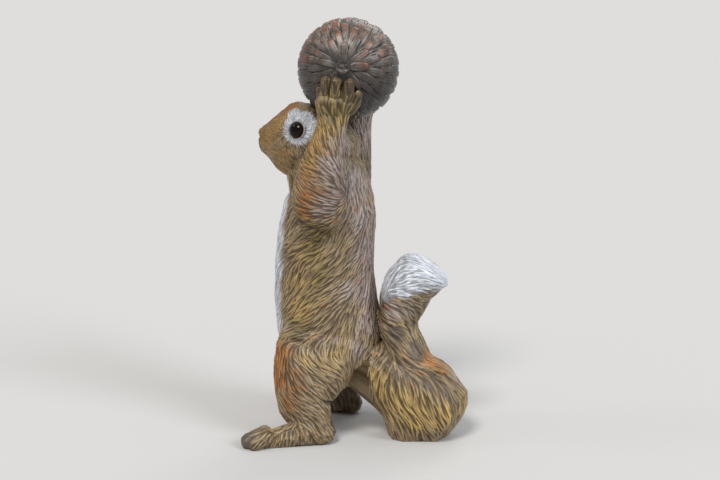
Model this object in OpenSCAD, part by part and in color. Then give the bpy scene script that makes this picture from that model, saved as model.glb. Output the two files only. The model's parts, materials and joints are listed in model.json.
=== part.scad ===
// Squirrel figurine in painted cast resin. It stands on its hind feet and its tail and
// lifts a closed pine cone over its head. Millimetres, +Z up, the animal faces -X and
// stands on Z = 0, and the origin is the centre of its box at the ground.

/* [Trunk] */
// Height of the haunches
haunch_h = 50; // [48:1:53]
// Height of the shoulders
shoulder_h = 145; // [138:1:152]
// Distance from the shoulders up to the middle of the head
neck_len = 46; // [44:1:48]
// Depth from belly to back at the widest
belly_depth = 70; // [66:1:74]
// Width across the flanks at the belly
belly_w = 62; // [58:1:66]
// Depth at the shoulders
shoulder_depth = 64; // [62:1:67]
// Width at the shoulders, without the arms
shoulder_w = 58; // [56:1:60]
// Width of the neck
neck_w = 46; // [43:1:48]

/* [Head] */
// Length from the back of the head to the nose
head_len = 57; // [54:1:60]
// Width across the cheeks
head_w = 49; // [47:1:51]
// Height from crown to jaw
head_h = 49; // [47:1:51]
// Width of the muzzle behind the nose
muzzle_w = 19; // [17:1:21]
// Diameter of each nostril pad
nose_d = 5.6; // [5:0.2:6.4]
// Length of an ear
ear_len = 15; // [12:1:17]

/* [Eyes] */
// Diameter of a glass eye
eye_d = 9.6; // [8.8:0.2:10.4]
// Height of its dome above the rim
eye_dome = 2.8; // [2.2:0.1:3.2]
// Depth of its socket
socket_depth = 4; // [3.5:0.25:5]
// Width of the sculpted lid around it
lid_w = 2; // [1.6:0.1:2.4]

/* [Arms] */
// Distance between the forearms, centre to centre
arm_spread = 65; // [64:0.5:67]
// Depth of the upper arm, front to back
upper_arm_d = 35; // [33:1:37]
// Width of the upper arm, side to side
upper_arm_w = 22; // [20:1:24]
// Depth of the wrist, front to back
wrist_d = 19; // [17:1:20]
// Diameter of a finger
finger_d = 6.6; // [6.2:0.1:6.9]

/* [Legs] */
// Distance between the heels, centre to centre
stance_w = 66; // [64:1:70]
// Depth of the thigh, front to back
thigh_d = 44; // [42:1:46]
// Width of the thigh, side to side
thigh_w = 32; // [30:1:34]
// Diameter of a heel
heel_d = 16; // [15:0.5:17]
// Length of a hind foot, heel to toe tip
foot_len = 62; // [59:1:65]
// Width of a hind foot across the toes
foot_w = 22; // [20:1:24]
// Angle by which each foot turns out
foot_splay = 24; // [20:1:27]
// Diameter of a toe
toe_d = 9; // [8.4:0.2:9.6]

/* [Tail] */
// Width of the brush, side to side
tail_w = 50; // [46:1:54]
// Distance from the heels to the back of the brush
tail_reach = 87; // [85:1:90]
// Height of the tip
tail_h = 119; // [115:1:123]
// Depth of the upper brush, front to back
plume_d = 33; // [30:1:36]

/* [Fur] */
// Height of the main tufts of fur
tuft_h = 0.7; // [0.4:0.1:0.9]

/* [Pine cone] */
// Height of the cone's underside over the middle of the head
cone_over = 14; // [13:0.5:16]
// Diameter over the scales
cone_d = 65; // [63:0.5:66]
// Length from the stalk end to the widest ring
cone_stalk_len = 33; // [32:0.5:34]
// Length from the widest ring to the tip
cone_tip_len = 39; // [38:0.5:41]
// Number of scales
cone_scales = 150; // [140:5:160]
// Width of a scale
scale_w = 7.2; // [6.8:0.2:8]
// Length of a scale
scale_len = 19; // [16:1:22]
// Height of a scale's tip over the core
scale_lift = 2.2; // [1.8:0.1:2.4]
// Diameter of the broken stalk
stalk_d = 8.4; // [7.4:0.2:9]
// Length of the stalk beyond the scales
stalk_out = 1.5; // [1:0.25:2]

/* [Joints] */
// Diameter of the dowel in each shoulder
arm_dowel_d = 5; // [4:0.5:6]
// Length of the dowel in each shoulder
arm_dowel_len = 18; // [16:1:19]
// Diameter of the dowel in the tail root
tail_dowel_d = 8; // [6:0.5:9]
// Length of the dowel in the tail root
tail_dowel_len = 30; // [26:1:34]
// Gap that the adhesive fills around a dowel and an eye
glue_gap = 0.1; // [0.08:0.01:0.15]
// Gap that the adhesive fills between the cone and what holds it
cone_gap = 0.3; // [0.2:0.05:0.4]

/* [Hidden] */

// The animal's own left is at -Y
LEFT = -1;
RIGHT = 1;

// The head reaches ahead of the trunk
head_x = -0.27 * belly_depth;
head_z = shoulder_h + neck_len;

// The cone lies across the head, and its stalk turns a little back and up
cone_r = cone_d / 2;
cone_x = head_x + 0.465 * head_len;
cone_z = head_z + cone_over + cone_r;
cone_yaw = 10;
cone_rise = 5;
core_r = cone_r - scale_lift;
golden_angle = 360 * (2 - (1 + sqrt(5)) / 2);
// Roundness of the stalk end and of the tip
stalk_p = 2.2;
tip_p = 1.7;

// The hind feet
heel_r = heel_d / 2;
toes = 4;
heel_y = stance_w / 2;
toe_reach = foot_len - heel_r - toe_d / 2;

// The arms run from the shoulders up to the cone
shoulder_x = -0.11 * upper_arm_d;
shoulder_y = shoulder_w / 2;
arm_y = arm_spread / 2;
reach = cone_z - shoulder_h;

// The box of the figure runs from the nose, or the toes, to the brush
nose_x = head_x - 0.54 * head_len;
front_x = min(nose_x - nose_d / 2, -toe_reach * cos(foot_splay) - toe_d / 2);
centre_x = (front_x + tail_reach) / 2;

// Seats of the eyes and the dowels
eye_seat = [head_x - 0.02 * head_len, 0.455 * head_w, head_z + 0.185 * head_h];
eye_turn = 14;
eye_lift = 12;
arm_seat = [shoulder_x, shoulder_y, shoulder_h + 0.05 * reach];
tail_seat = [0.43 * belly_depth, 0, 0.92 * haunch_h];
tail_slope = 20;

// Sides of the lofts. Tufts of fur lie on two sides each, so theirs are multiples of four
trunk_sides = 40;
head_sides = 20;
leg_sides = 24;
arm_sides = 16;
brush_sides = 32;
plume_sides = 24;

// Which way tufts slant as they run down a loft: towards its ahead side, or away from it
AHEAD = 1;
BEHIND = -1;

// ---- Lofts ------------------------------------------------------------------------
// A row of a loft is [x, y, z, half width, depth ahead, depth behind]. The half width
// lies along Y, and "ahead" is the side to the left of the path as seen from -Y.

function unit(v) = v / norm(v);
function place(row) = [row[0], row[1], row[2]];

// The row at the distance u along the rows, on a curve that passes through each of them
function blend(rows, u) =
    let (n = len(rows) - 1, i = min(floor(u), n - 1), t = u - i,
         a = rows[max(i - 1, 0)], b = rows[i], c = rows[i + 1], d = rows[min(i + 2, n)])
    0.5 * (2 * b + (c - a) * t + (2 * a - 5 * b + 4 * c - d) * t ^ 2
           + (3 * b - a - 3 * c + d) * t ^ 3);

function heading(rows, u) =
    unit(place(blend(rows, min(u + 0.05, len(rows) - 1))) - place(blend(rows, max(u - 0.05, 0))));

// An oval ring of points around the path, with its own radius ahead and behind. Every
// second point from the given one on is sunk between two tufts
function ring(centre, along, row, shrink, sides, sunk = 0, first = 0) =
    let (a = unit([0, 1, 0] - along[1] * along), b = cross(along, a))
    [for (k = [0 : sides - 1])
        let (q = -360 * k / sides,
             spoke = row[3] * cos(q) * a + (sin(q) > 0 ? row[4] : row[5]) * sin(q) * b)
        centre + shrink * spoke - (sunk * ((k + first) % 2)) * unit(spoke)];

// A closed skin over the rows, with a dome at each end whose height is the given share
// of the end's half width. Its tufts, where it has a height for them, slant the same way
// on both of its sides, because the edges across each face follow them
module loft(rows, rings, sides, domes, tufts = 0, slant = AHEAD) {
    dome_rings = 3;
    n = len(rows) - 1;
    start = -domes[0] * rows[0][3] * heading(rows, 0);
    stop = domes[1] * rows[n][3] * heading(rows, n);
    tips = [place(rows[0]) + start, place(rows[n]) + stop];
    skin = [
        for (j = [dome_rings - 1 : -1 : 1])
            each ring(place(rows[0]) + sin(90 * j / dome_rings) * start, heading(rows, 0),
                      rows[0], cos(90 * j / dome_rings), sides),
        for (i = [0 : rings])
            let (u = n * i / rings, row = blend(rows, u))
            each ring(place(row), heading(rows, u), row, 1, sides, tufts, i),
        for (j = [1 : dome_rings - 1])
            each ring(place(rows[n]) + sin(90 * j / dome_rings) * stop, heading(rows, n),
                      rows[n], cos(90 * j / dome_rings), sides)
    ];
    last = len(skin) - sides;
    faces = [
        for (r = [0 : sides : last - 1])
            for (k = [0 : sides - 1])
                let (p = r + k, q = r + (k + 1) % sides, near = 4 * k >= sides && 4 * k < 3 * sides)
                each near == (slant == AHEAD)
                     ? [[p, q, p + sides], [q, q + sides, p + sides]]
                     : [[p, q, q + sides], [p, q + sides, p + sides]],
        for (k = [0 : sides - 1]) [len(skin), (k + 1) % sides, k],
        for (k = [0 : sides - 1]) [len(skin) + 1, last + k, last + (k + 1) % sides]
    ];
    polyhedron(concat(skin, tips), faces, convexity = 6);
}

module mirrored() {
    children();
    mirror([0, 1, 0]) children();
}

// Moves the figure from its heels to the origin
module placed() {
    translate([-centre_x, 0, 0]) children();
}

module ground() {
    translate([0, 0, -shoulder_h / 2]) cube([3, 3, 1] * shoulder_h, center = true);
}

// ---- Trunk and head ---------------------------------------------------------------

function trunk_z(share) = haunch_h + share * (shoulder_h - haunch_h);
function neck_z(share) = shoulder_h + share * neck_len;

trunk_rows = [
    [0, 0, 0.72 * haunch_h, 0.36 * belly_w, 0.30 * belly_depth, 0.30 * belly_depth],
    [0, 0, haunch_h, 0.49 * belly_w, 0.48 * belly_depth, 0.45 * belly_depth],
    [-0.06 * belly_depth, 0, trunk_z(0.19), belly_w / 2, 0.51 * belly_depth, 0.49 * belly_depth],
    [-0.09 * belly_depth, 0, trunk_z(0.38), 0.49 * belly_w, 0.51 * belly_depth, 0.47 * belly_depth],
    [-0.10 * belly_depth, 0, trunk_z(0.57), 0.47 * belly_w, 0.50 * belly_depth, 0.445 * belly_depth],
    [-0.10 * belly_depth, 0, trunk_z(0.79), shoulder_y, 0.52 * shoulder_depth, 0.485 * shoulder_depth],
    [-0.08 * belly_depth, 0, shoulder_h, shoulder_y, 0.48 * shoulder_depth, 0.485 * shoulder_depth],
    [-0.07 * belly_depth, 0, neck_z(0.33), 0.56 * neck_w, 0.43 * shoulder_depth, 0.43 * shoulder_depth],
    [-0.13 * belly_depth, 0, neck_z(0.67), neck_w / 2, 0.39 * shoulder_depth, 0.37 * shoulder_depth],
    [-0.16 * belly_depth, 0, head_z, 0.44 * neck_w, 0.34 * shoulder_depth, 0.30 * shoulder_depth]
];

function head_at(share) = head_x - share * head_len;

head_rows = [
    [head_at(-0.47), 0, head_z - 0.12 * head_h, 0.30 * head_w, 0.27 * head_h, 0.25 * head_h],
    [head_at(-0.23), 0, head_z - 0.04 * head_h, 0.46 * head_w, 0.45 * head_h, 0.45 * head_h],
    [head_x, 0, head_z, head_w / 2, head_h / 2, head_h / 2],
    [head_at(0.23), 0, head_z - 0.02 * head_h, 0.41 * head_w, 0.45 * head_h, 0.45 * head_h],
    [head_at(0.40), 0, head_z, 0.285 * head_w, 0.285 * head_h, 0.33 * head_h],
    [head_at(0.51), 0, head_z + 0.01 * head_h, muzzle_w / 2, 0.194 * head_h, 0.21 * head_h]
];

module muzzle() {
    hull() {
        for (side = [LEFT, RIGHT])
            translate([nose_x, 0.45 * side * nose_d, head_z + 0.11 * head_h])
                sphere(d = nose_d, $fn = 12);
        translate([nose_x + nose_d, 0, head_z + 0.12 * head_h]) sphere(d = 1.3 * nose_d, $fn = 10);
    }
    hull() {
        for (side = [LEFT, RIGHT])
            translate([head_at(0.47), 0.14 * side * muzzle_w, head_z - 0.08 * head_h])
                sphere(r = 0.1 * head_h, $fn = 12);
        translate([head_at(0.33), 0, head_z - 0.1 * head_h]) sphere(r = 0.185 * head_h, $fn = 12);
    }
}

// An ear laid back along the head, out of the cone's way
module ear() {
    translate([head_at(-0.19), 0.34 * head_w, head_z + 0.245 * head_h])
        hull() {
            scale([1, 0.5, 1]) sphere(r = 0.37 * ear_len, $fn = 10);
            translate([0.5, 0.13, 0.1] * ear_len) scale([1, 0.35, 1]) sphere(r = 0.3 * ear_len, $fn = 10);
            translate([0.87, 0.17, 0.07] * ear_len) sphere(r = 0.11 * ear_len, $fn = 8);
        }
}

// Turns +Z to look out of the right eye
module at_eye() {
    translate(eye_seat)
        rotate([0, 0, 90 + eye_turn])
            rotate([0, 90 - eye_lift, 0])
                children();
}

module eye_lid() {
    at_eye()
        rotate_extrude($fn = 16)
            translate([eye_d / 2 + 0.35 * lid_w, -0.2 * lid_w])
                circle(d = lid_w, $fn = 6);
}

// ---- Legs and feet ----------------------------------------------------------------

leg_rows = [
    [-0.16 * thigh_d, heel_y, 0.08 * haunch_h, 0.28 * thigh_w, 0.28 * thigh_d, 0.28 * thigh_d],
    [-0.20 * thigh_d, heel_y, 0.30 * haunch_h, 0.33 * thigh_w, 0.34 * thigh_d, 0.34 * thigh_d],
    [-0.30 * thigh_d, 0.97 * heel_y, 0.52 * haunch_h, 0.39 * thigh_w, 0.43 * thigh_d, 0.40 * thigh_d],
    [-0.27 * thigh_d, 0.88 * heel_y, 0.74 * haunch_h, 0.45 * thigh_w, 0.54 * thigh_d, 0.49 * thigh_d],
    [-0.18 * thigh_d, 0.74 * heel_y, haunch_h, thigh_w / 2, 0.65 * thigh_d, 0.58 * thigh_d],
    [-0.09 * thigh_d, 0.55 * heel_y, 1.34 * haunch_h, 0.44 * thigh_w, 0.64 * thigh_d, 0.57 * thigh_d],
    [-0.07 * thigh_d, 0.30 * heel_y, 1.68 * haunch_h, 0.25 * thigh_w, 0.45 * thigh_d, 0.45 * thigh_d]
];

// The foot runs along its own X from the heel, and its toes lie side by side at the end
module foot() {
    span = foot_w - toe_d;
    translate([0, heel_y, 0])
        rotate([0, 0, 180 - foot_splay]) {
            hull() {
                translate([0, 0, 0.88 * heel_r]) sphere(r = heel_r, $fn = 10);
                translate([0.45 * toe_reach, 0, 0.75 * heel_r])
                    scale([1, 1, 0.8]) sphere(r = 1.05 * heel_r, $fn = 10);
            }
            hull() {
                translate([0.2 * toe_reach, 0, 1.12 * heel_r]) sphere(r = 1.12 * heel_r, $fn = 10);
                translate([0.75 * toe_reach, 0, 0.38 * heel_r])
                    scale([0.8 * heel_r, span / 2, 0.8 * heel_r]) sphere(r = 1, $fn = 10);
            }
            for (i = [0 : toes - 1]) {
                side = i / (toes - 1) - 0.5;
                hull() {
                    translate([0.75 * toe_reach, 0.8 * side * span, 0.82 * toe_d])
                        sphere(d = 1.1 * toe_d, $fn = 8);
                    translate([toe_reach * (1 - 0.35 * side ^ 2), side * span, 0.42 * toe_d])
                        sphere(d = toe_d, $fn = 8);
                }
            }
        }
}

// ---- Body casting -----------------------------------------------------------------

module body_form() {
    difference() {
        union() {
            loft(trunk_rows, 16, trunk_sides, [0.23, 0.2], tuft_h);
            loft(head_rows, 13, head_sides, [0.4, 0.45]);
            muzzle();
            mirrored() {
                loft(leg_rows, 10, leg_sides, [0.35, 0.5], tuft_h, BEHIND);
                foot();
                ear();
                eye_lid();
            }
        }
        cone_room();
        ground();
    }
}

module eye_socket() {
    at_eye()
        translate([0, 0, -socket_depth])
            cylinder(d = eye_d + 2 * glue_gap, h = 2 * socket_depth, $fn = 24);
}

module arm_bore() {
    translate(arm_seat)
        rotate([90, 0, 0])
            cylinder(d = arm_dowel_d + 2 * glue_gap, h = arm_dowel_len + 2 * glue_gap,
                     center = true, $fn = 32);
}

module at_tail_seat() {
    translate(tail_seat) rotate([0, 90 + tail_slope, 0]) children();
}

module tail_bore() {
    at_tail_seat()
        cylinder(d = tail_dowel_d + 2 * glue_gap, h = tail_dowel_len + 2 * glue_gap,
                 center = true, $fn = 32);
}

module body() {
    color("peru")
        placed()
            difference() {
                body_form();
                mirrored() {
                    eye_socket();
                    arm_bore();
                }
                tail_bore();
            }
}

// ---- Arms -------------------------------------------------------------------------

// How far out along Y the cone's surface lies at the place x, z on the given side
function cone_face(x, z, side) =
    let (end = side == LEFT ? cone_stalk_len : cone_tip_len, p = side == LEFT ? stalk_p : tip_p,
         axis = [cone_x - side * end * tan(cone_yaw), cone_z - side * end * tan(cone_rise)],
         share = min(norm([x, z] - axis) / cone_r, 1))
    end * (1 - share ^ p) ^ (1 / p);

// A place between the shoulder and the cone, out along Y and up
function arm_at(ahead, out, up) =
    [shoulder_x + ahead * (cone_x - shoulder_x), shoulder_y + out * (arm_y - shoulder_y),
     shoulder_h + up * reach];

arm_rows = [
    [each arm_at(0, -1.2, -0.09), 0.36 * upper_arm_w, 0.30 * upper_arm_d, 0.30 * upper_arm_d],
    [each arm_at(0, 0.15, 0.04), 0.48 * upper_arm_w, 0.46 * upper_arm_d, 0.48 * upper_arm_d],
    [each arm_at(0.1, 0.7, 0.19), upper_arm_w / 2, upper_arm_d / 2, upper_arm_d / 2],
    [each arm_at(0.35, 1, 0.36), 0.48 * upper_arm_w, 0.43 * upper_arm_d, 0.41 * upper_arm_d],
    [each arm_at(0.6, 1, 0.51), 0.41 * upper_arm_w, 0.60 * wrist_d, 0.60 * wrist_d],
    [each arm_at(0.83, 0.7, 0.65), 0.32 * upper_arm_w, wrist_d / 2, wrist_d / 2],
    [each arm_at(0.94, 0.3, 0.79), 0.25 * upper_arm_w, 0.66 * wrist_d, 0.66 * wrist_d]
];

// Each digit's root and tip, as shares of the cone's radius from its middle: x, z
digits = [
    [[-0.30, -0.66], [-0.31, -0.34]],
    [[-0.20, -0.64], [-0.16, -0.18]],
    [[0.00, -0.62], [0.05, -0.20]],
    [[0.20, -0.64], [0.31, -0.22]],
    [[0.30, -0.72], [0.44, -0.44]]
];

module digit(ends, side) {
    spots = [for (t = [0, 0.5, 1])
        let (x = cone_x + cone_r * (ends[0][0] * (1 - t) + ends[1][0] * t),
             z = cone_z + cone_r * (ends[0][1] * (1 - t) + ends[1][1] * t),
             out = cone_face(x, z, side) + cone_gap + 0.3 * finger_d)
        [x, side * (t == 0 ? max(out, shoulder_y) : out), z]];
    for (i = [0, 1])
        hull() {
            translate(spots[i]) sphere(d = finger_d * (1 + 0.15 * i), $fn = 8);
            translate(spots[i + 1]) sphere(d = finger_d * (1.15 - 0.25 * i), $fn = 8);
        }
}

module arm_form(side) {
    scale([1, side, 1]) loft(arm_rows, 18, arm_sides, [0.6, 0.9]);
    for (ends = digits) digit(ends, side);
}

module arm(side) {
    color("sienna")
        placed()
            difference() {
                union() {
                    difference() {
                        arm_form(side);
                        body_form();
                        cone_room();
                    }
                }
                mirrored() arm_bore();
            }
}

module left_arm() {
    arm(LEFT);
}

module right_arm() {
    arm(RIGHT);
}

// ---- Tail -------------------------------------------------------------------------

low_rows = [
    [0.14 * tail_reach, 0, 0.94 * haunch_h, 0.30 * tail_w, 0.24 * tail_w, 0.24 * tail_w],
    [0.32 * tail_reach, 0, 0.88 * haunch_h, 0.42 * tail_w, 0.40 * tail_w, 0.42 * tail_w],
    [0.51 * tail_reach, 0, 0.70 * haunch_h, tail_w / 2, 0.48 * tail_w, 0.54 * tail_w],
    [0.69 * tail_reach, 0, 0.54 * haunch_h, tail_w / 2, 0.50 * tail_w, 0.88 * tail_w],
    [0.835 * tail_reach, 0, 0.40 * haunch_h, 0.43 * tail_w, 0.38 * tail_w, 0.60 * tail_w]
];

plume_rows = [
    [0.64 * tail_reach, 0, 0.235 * tail_h, 0.38 * tail_w, 0.36 * tail_w, 0.36 * tail_w],
    [0.55 * tail_reach, 0, 0.44 * tail_h, 0.37 * tail_w, 0.39 * plume_d, 0.42 * plume_d],
    [0.48 * tail_reach, 0, 0.60 * tail_h, 0.36 * tail_w, 0.40 * plume_d, 0.36 * plume_d],
    [0.495 * tail_reach, 0, 0.72 * tail_h, 0.38 * tail_w, 0.46 * plume_d, 0.46 * plume_d],
    [0.56 * tail_reach, 0, 0.825 * tail_h, 0.39 * tail_w, 0.55 * plume_d, 0.48 * plume_d],
    [0.635 * tail_reach, 0, 0.93 * tail_h, 0.33 * tail_w, 0.46 * plume_d, 0.62 * plume_d]
];

module tail() {
    color("sienna")
        placed()
            difference() {
                union() {
                    difference() {
                        union() {
                            loft(low_rows, 10, brush_sides, [0.27, 0.6], tuft_h);
                            loft(plume_rows, 14, plume_sides, [0.27, 0.47], tuft_h, BEHIND);
                        }
                        body_form();
                        ground();
                    }
                }
                tail_bore();
            }
}

// ---- Pine cone --------------------------------------------------------------------
// The cone's own +Z runs from its stalk to its tip. The angle q runs from 0 at the stalk
// to 180 at the tip, with the widest ring at 90.

// The distance from the axis and the place along it, for a surface that lies lift outside the core
function cone_point(q, lift) =
    let (tip = q > 90, end = (tip ? cone_tip_len : cone_stalk_len) - scale_lift + lift,
         power = 2 / (tip ? tip_p : stalk_p))
    [(core_r + lift) * sin(q) ^ power, (tip ? end : -end) * abs(cos(q)) ^ power];

module cone_skin(lift, steps, sides) {
    rotate_extrude($fn = sides)
        polygon([for (i = [0 : steps]) cone_point(180 * i / steps, lift)]);
}

module at_cone() {
    translate([cone_x, 0, cone_z])
        rotate([0, 0, cone_yaw])
            rotate([-90 - cone_rise, 0, 0])
                children();
}

// The room that the head and the hands leave for the cone
module cone_room() {
    at_cone() cone_skin(scale_lift + cone_gap, 24, 48);
}

// One scale lies along the core, from its buried root to its raised end
module cone_scale(q, turn) {
    arc = scale_len / cone_r * 180 / PI;
    // Share of the length from the middle, share of the half width, share of the lift
    marks = [
        [-0.5, 0, -0.5], [0.3, 1, 0.65], [0.3, -1, 0.65],
        [0.25, 0, 1], [0.5, 0, 0.8], [0, 0, -1.1]
    ];
    spots = [for (mark = marks)
        let (p = cone_point(min(max(q + mark[0] * arc, 1), 179), mark[2] * scale_lift))
        [p[0], mark[1] * min(scale_w / 2, 0.8 * p[0]), p[1]]];
    rotate([0, 0, turn])
        hull()
            polyhedron(spots, [[for (i = [0 : len(spots) - 1]) i]]);
}

module stalk() {
    translate([0, 0, -cone_stalk_len - stalk_out])
        difference() {
            cylinder(d1 = stalk_d, d2 = 1.3 * stalk_d, h = stalk_d, $fn = 20);
            translate([0, 0, -0.6 * stalk_d]) sphere(d = 1.5 * stalk_d, $fn = 20);
        }
}

module pine_cone() {
    color("saddlebrown")
        placed()
            at_cone()
                union() {
                    cone_skin(0, 8, 20);
                    for (i = [0 : cone_scales - 1])
                        cone_scale(acos(1 - 2 * (i + 0.5) / cone_scales), i * golden_angle);
                    stalk();
                }
}

// ---- Eyes and dowels --------------------------------------------------------------

// A glass cabochon: a shank in the socket under a dome
module eye() {
    dome_r = (eye_d ^ 2 / 4 + eye_dome ^ 2) / (2 * eye_dome);
    color("black")
        placed()
            at_eye() {
                translate([0, 0, glue_gap - socket_depth])
                    cylinder(d = eye_d, h = socket_depth - glue_gap, $fn = 24);
                intersection() {
                    translate([0, 0, eye_dome - dome_r]) sphere(r = dome_r, $fn = 24);
                    cylinder(d = eye_d, h = eye_dome, $fn = 24);
                }
            }
}

module left_eye() {
    mirror([0, 1, 0]) eye();
}

module right_eye() {
    eye();
}

module dowel(d, length) {
    color("silver") cylinder(d = d, h = length, center = true, $fn = 32);
}

module right_arm_dowel() {
    placed() translate(arm_seat) rotate([90, 0, 0]) dowel(arm_dowel_d, arm_dowel_len);
}

module left_arm_dowel() {
    mirror([0, 1, 0]) right_arm_dowel();
}

module tail_dowel() {
    placed() at_tail_seat() dowel(tail_dowel_d, tail_dowel_len);
}

body();
left_arm();
right_arm();
tail();
pine_cone();
left_eye();
right_eye();
left_arm_dowel();
right_arm_dowel();
tail_dowel();
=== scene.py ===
"""The looks of a carved and hand-painted squirrel that holds a pine cone over its head.

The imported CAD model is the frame. The castings of the animal are joined, carved with locks of fur, painted
and parted again, the cone is laid with scales, and the eyes are set as glass. Lengths in the tables are in
millimetres, and Blender's own are in metres.
"""

import sys

import json
import logging
import math
from collections.abc import Iterator, Sequence
from contextlib import contextmanager
from dataclasses import dataclass, field
from enum import Enum
from itertools import product

import bmesh
import bpy
import numpy as np
from mathutils import Matrix, Vector
from mathutils.bvhtree import BVHTree

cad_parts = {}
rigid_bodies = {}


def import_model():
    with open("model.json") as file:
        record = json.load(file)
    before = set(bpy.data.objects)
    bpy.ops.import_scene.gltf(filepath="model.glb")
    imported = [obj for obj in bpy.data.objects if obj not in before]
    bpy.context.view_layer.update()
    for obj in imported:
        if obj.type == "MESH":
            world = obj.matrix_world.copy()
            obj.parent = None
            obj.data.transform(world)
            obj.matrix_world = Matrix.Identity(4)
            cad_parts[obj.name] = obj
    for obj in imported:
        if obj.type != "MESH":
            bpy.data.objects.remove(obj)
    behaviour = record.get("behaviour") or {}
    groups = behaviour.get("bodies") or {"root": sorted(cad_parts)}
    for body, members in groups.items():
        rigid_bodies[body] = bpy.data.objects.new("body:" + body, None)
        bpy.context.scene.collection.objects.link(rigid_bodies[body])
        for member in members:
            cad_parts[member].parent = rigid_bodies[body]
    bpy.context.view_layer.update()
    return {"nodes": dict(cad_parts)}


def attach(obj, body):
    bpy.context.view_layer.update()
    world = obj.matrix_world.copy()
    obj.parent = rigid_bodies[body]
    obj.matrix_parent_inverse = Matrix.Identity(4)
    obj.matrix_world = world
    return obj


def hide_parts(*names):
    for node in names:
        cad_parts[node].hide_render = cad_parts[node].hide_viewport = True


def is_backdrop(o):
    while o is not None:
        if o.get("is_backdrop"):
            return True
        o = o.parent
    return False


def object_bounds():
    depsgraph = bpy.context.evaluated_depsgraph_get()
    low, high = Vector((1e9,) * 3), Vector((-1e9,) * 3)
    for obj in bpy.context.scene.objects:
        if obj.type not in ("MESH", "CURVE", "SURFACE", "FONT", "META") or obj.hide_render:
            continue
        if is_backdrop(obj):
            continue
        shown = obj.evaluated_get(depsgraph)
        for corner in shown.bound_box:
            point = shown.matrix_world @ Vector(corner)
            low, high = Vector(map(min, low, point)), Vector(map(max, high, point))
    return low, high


MM = 0.001
SEED = 7
# A little over a full turn in radians, for phases drawn by chance
PHASES = 6.3
# Keeps a divisor above zero
TINY = 1e-6
Pair = tuple[float, float]
Stop = tuple[float, str]
Triple = tuple[float, float, float]
Piece = bpy.types.Object
Material = bpy.types.Material
Socket = bpy.types.NodeSocket
log = logging.getLogger("squirrel")


# ---- Small tools -------------------------------------------------------------------


def deselect() -> None:
    """Leave object mode with nothing selected."""
    if bpy.context.object is not None and bpy.context.object.mode != "OBJECT":
        bpy.ops.object.mode_set(mode="OBJECT")
    bpy.ops.object.select_all(action="DESELECT")


def pick_up(*pieces: Piece) -> None:
    """Select these pieces alone, the first as the active one."""
    deselect()
    for piece in pieces:
        piece.select_set(True)
    bpy.context.view_layer.objects.active = pieces[0]


@contextmanager
def editing(selected: str) -> Iterator[None]:
    """Work on the active piece in edit mode, starting with everything selected or nothing.

    Args:
        selected: What happens to the selection first: SELECT or DESELECT.
    """
    bpy.ops.object.mode_set(mode="EDIT")
    bpy.ops.mesh.select_all(action=selected)
    yield
    bpy.ops.object.mode_set(mode="OBJECT")


def added(name: str) -> Piece:
    """The piece that was just added or joined, under its name."""
    piece = bpy.context.object
    piece.name = name
    return piece


def unit_ball(name: str) -> Piece:
    """A ball of radius one, ready to be shaped."""
    bpy.ops.mesh.primitive_uv_sphere_add(segments=48, ring_count=32, radius=1)
    return added(name)


def twin(piece: Piece) -> Piece:
    """Copy a piece with a mesh of its own."""
    copy = piece.copy()
    copy.data = piece.data.copy()
    bpy.context.scene.collection.objects.link(copy)
    return copy


def dots(first: np.ndarray, second: np.ndarray) -> np.ndarray:
    """Dot products of rows."""
    return np.einsum("ij,ij->i", first, second)


def unit(rows: np.ndarray) -> np.ndarray:
    """Rows scaled to length one."""
    return rows / np.maximum(np.linalg.norm(rows, axis=1, keepdims=True), 1e-9)


def ramp(value: np.ndarray, start: float, end: float) -> np.ndarray:
    """A smooth step from 0 at start to 1 at end."""
    share = np.clip((value - start) / (end - start), 0, 1)
    return share * share * (3 - 2 * share)


def near_pairs(
    seekers: np.ndarray, targets: np.ndarray, reach: float
) -> Iterator[tuple[np.ndarray, np.ndarray]]:
    """Find every pair of a seeker and a target that lie close together.

    Args:
        seekers: Points, one a row.
        targets: Points, one a row.
        reach: The largest distance of a pair.

    Returns:
        Batches of the seekers' indices and the targets' indices.
    """
    # Spare cells round the targets keep a neighbour's key from falling on another row
    low = targets.min(0) - 2 * reach
    cells = np.floor((targets - low) / reach).astype(np.int64)
    size = cells.max(0) + 3
    keys = (cells[:, 0] * size[1] + cells[:, 1]) * size[2] + cells[:, 2]
    order = np.argsort(keys, kind="stable")
    keys = keys[order]
    home = np.floor((seekers - low) / reach).astype(np.int64)
    for step in product((-1, 0, 1), repeat=3):
        cell = home + step
        key = (cell[:, 0] * size[1] + cell[:, 1]) * size[2] + cell[:, 2]
        start = np.searchsorted(keys, key, "left")
        count = np.searchsorted(keys, key, "right") - start
        seeker = np.repeat(np.arange(len(seekers)), count)
        skip = np.repeat(np.cumsum(count) - count - start, count)
        target = order[np.arange(len(seeker)) - skip]
        close = ((seekers[seeker] - targets[target]) ** 2).sum(1) < reach * reach
        yield seeker[close], target[close]


# ---- Fur: what it is like, where it runs -------------------------------------------


@dataclass(frozen=True)
class Lock:
    """How one kind of fur is carved."""

    length: float
    width: float
    depth: float


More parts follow.
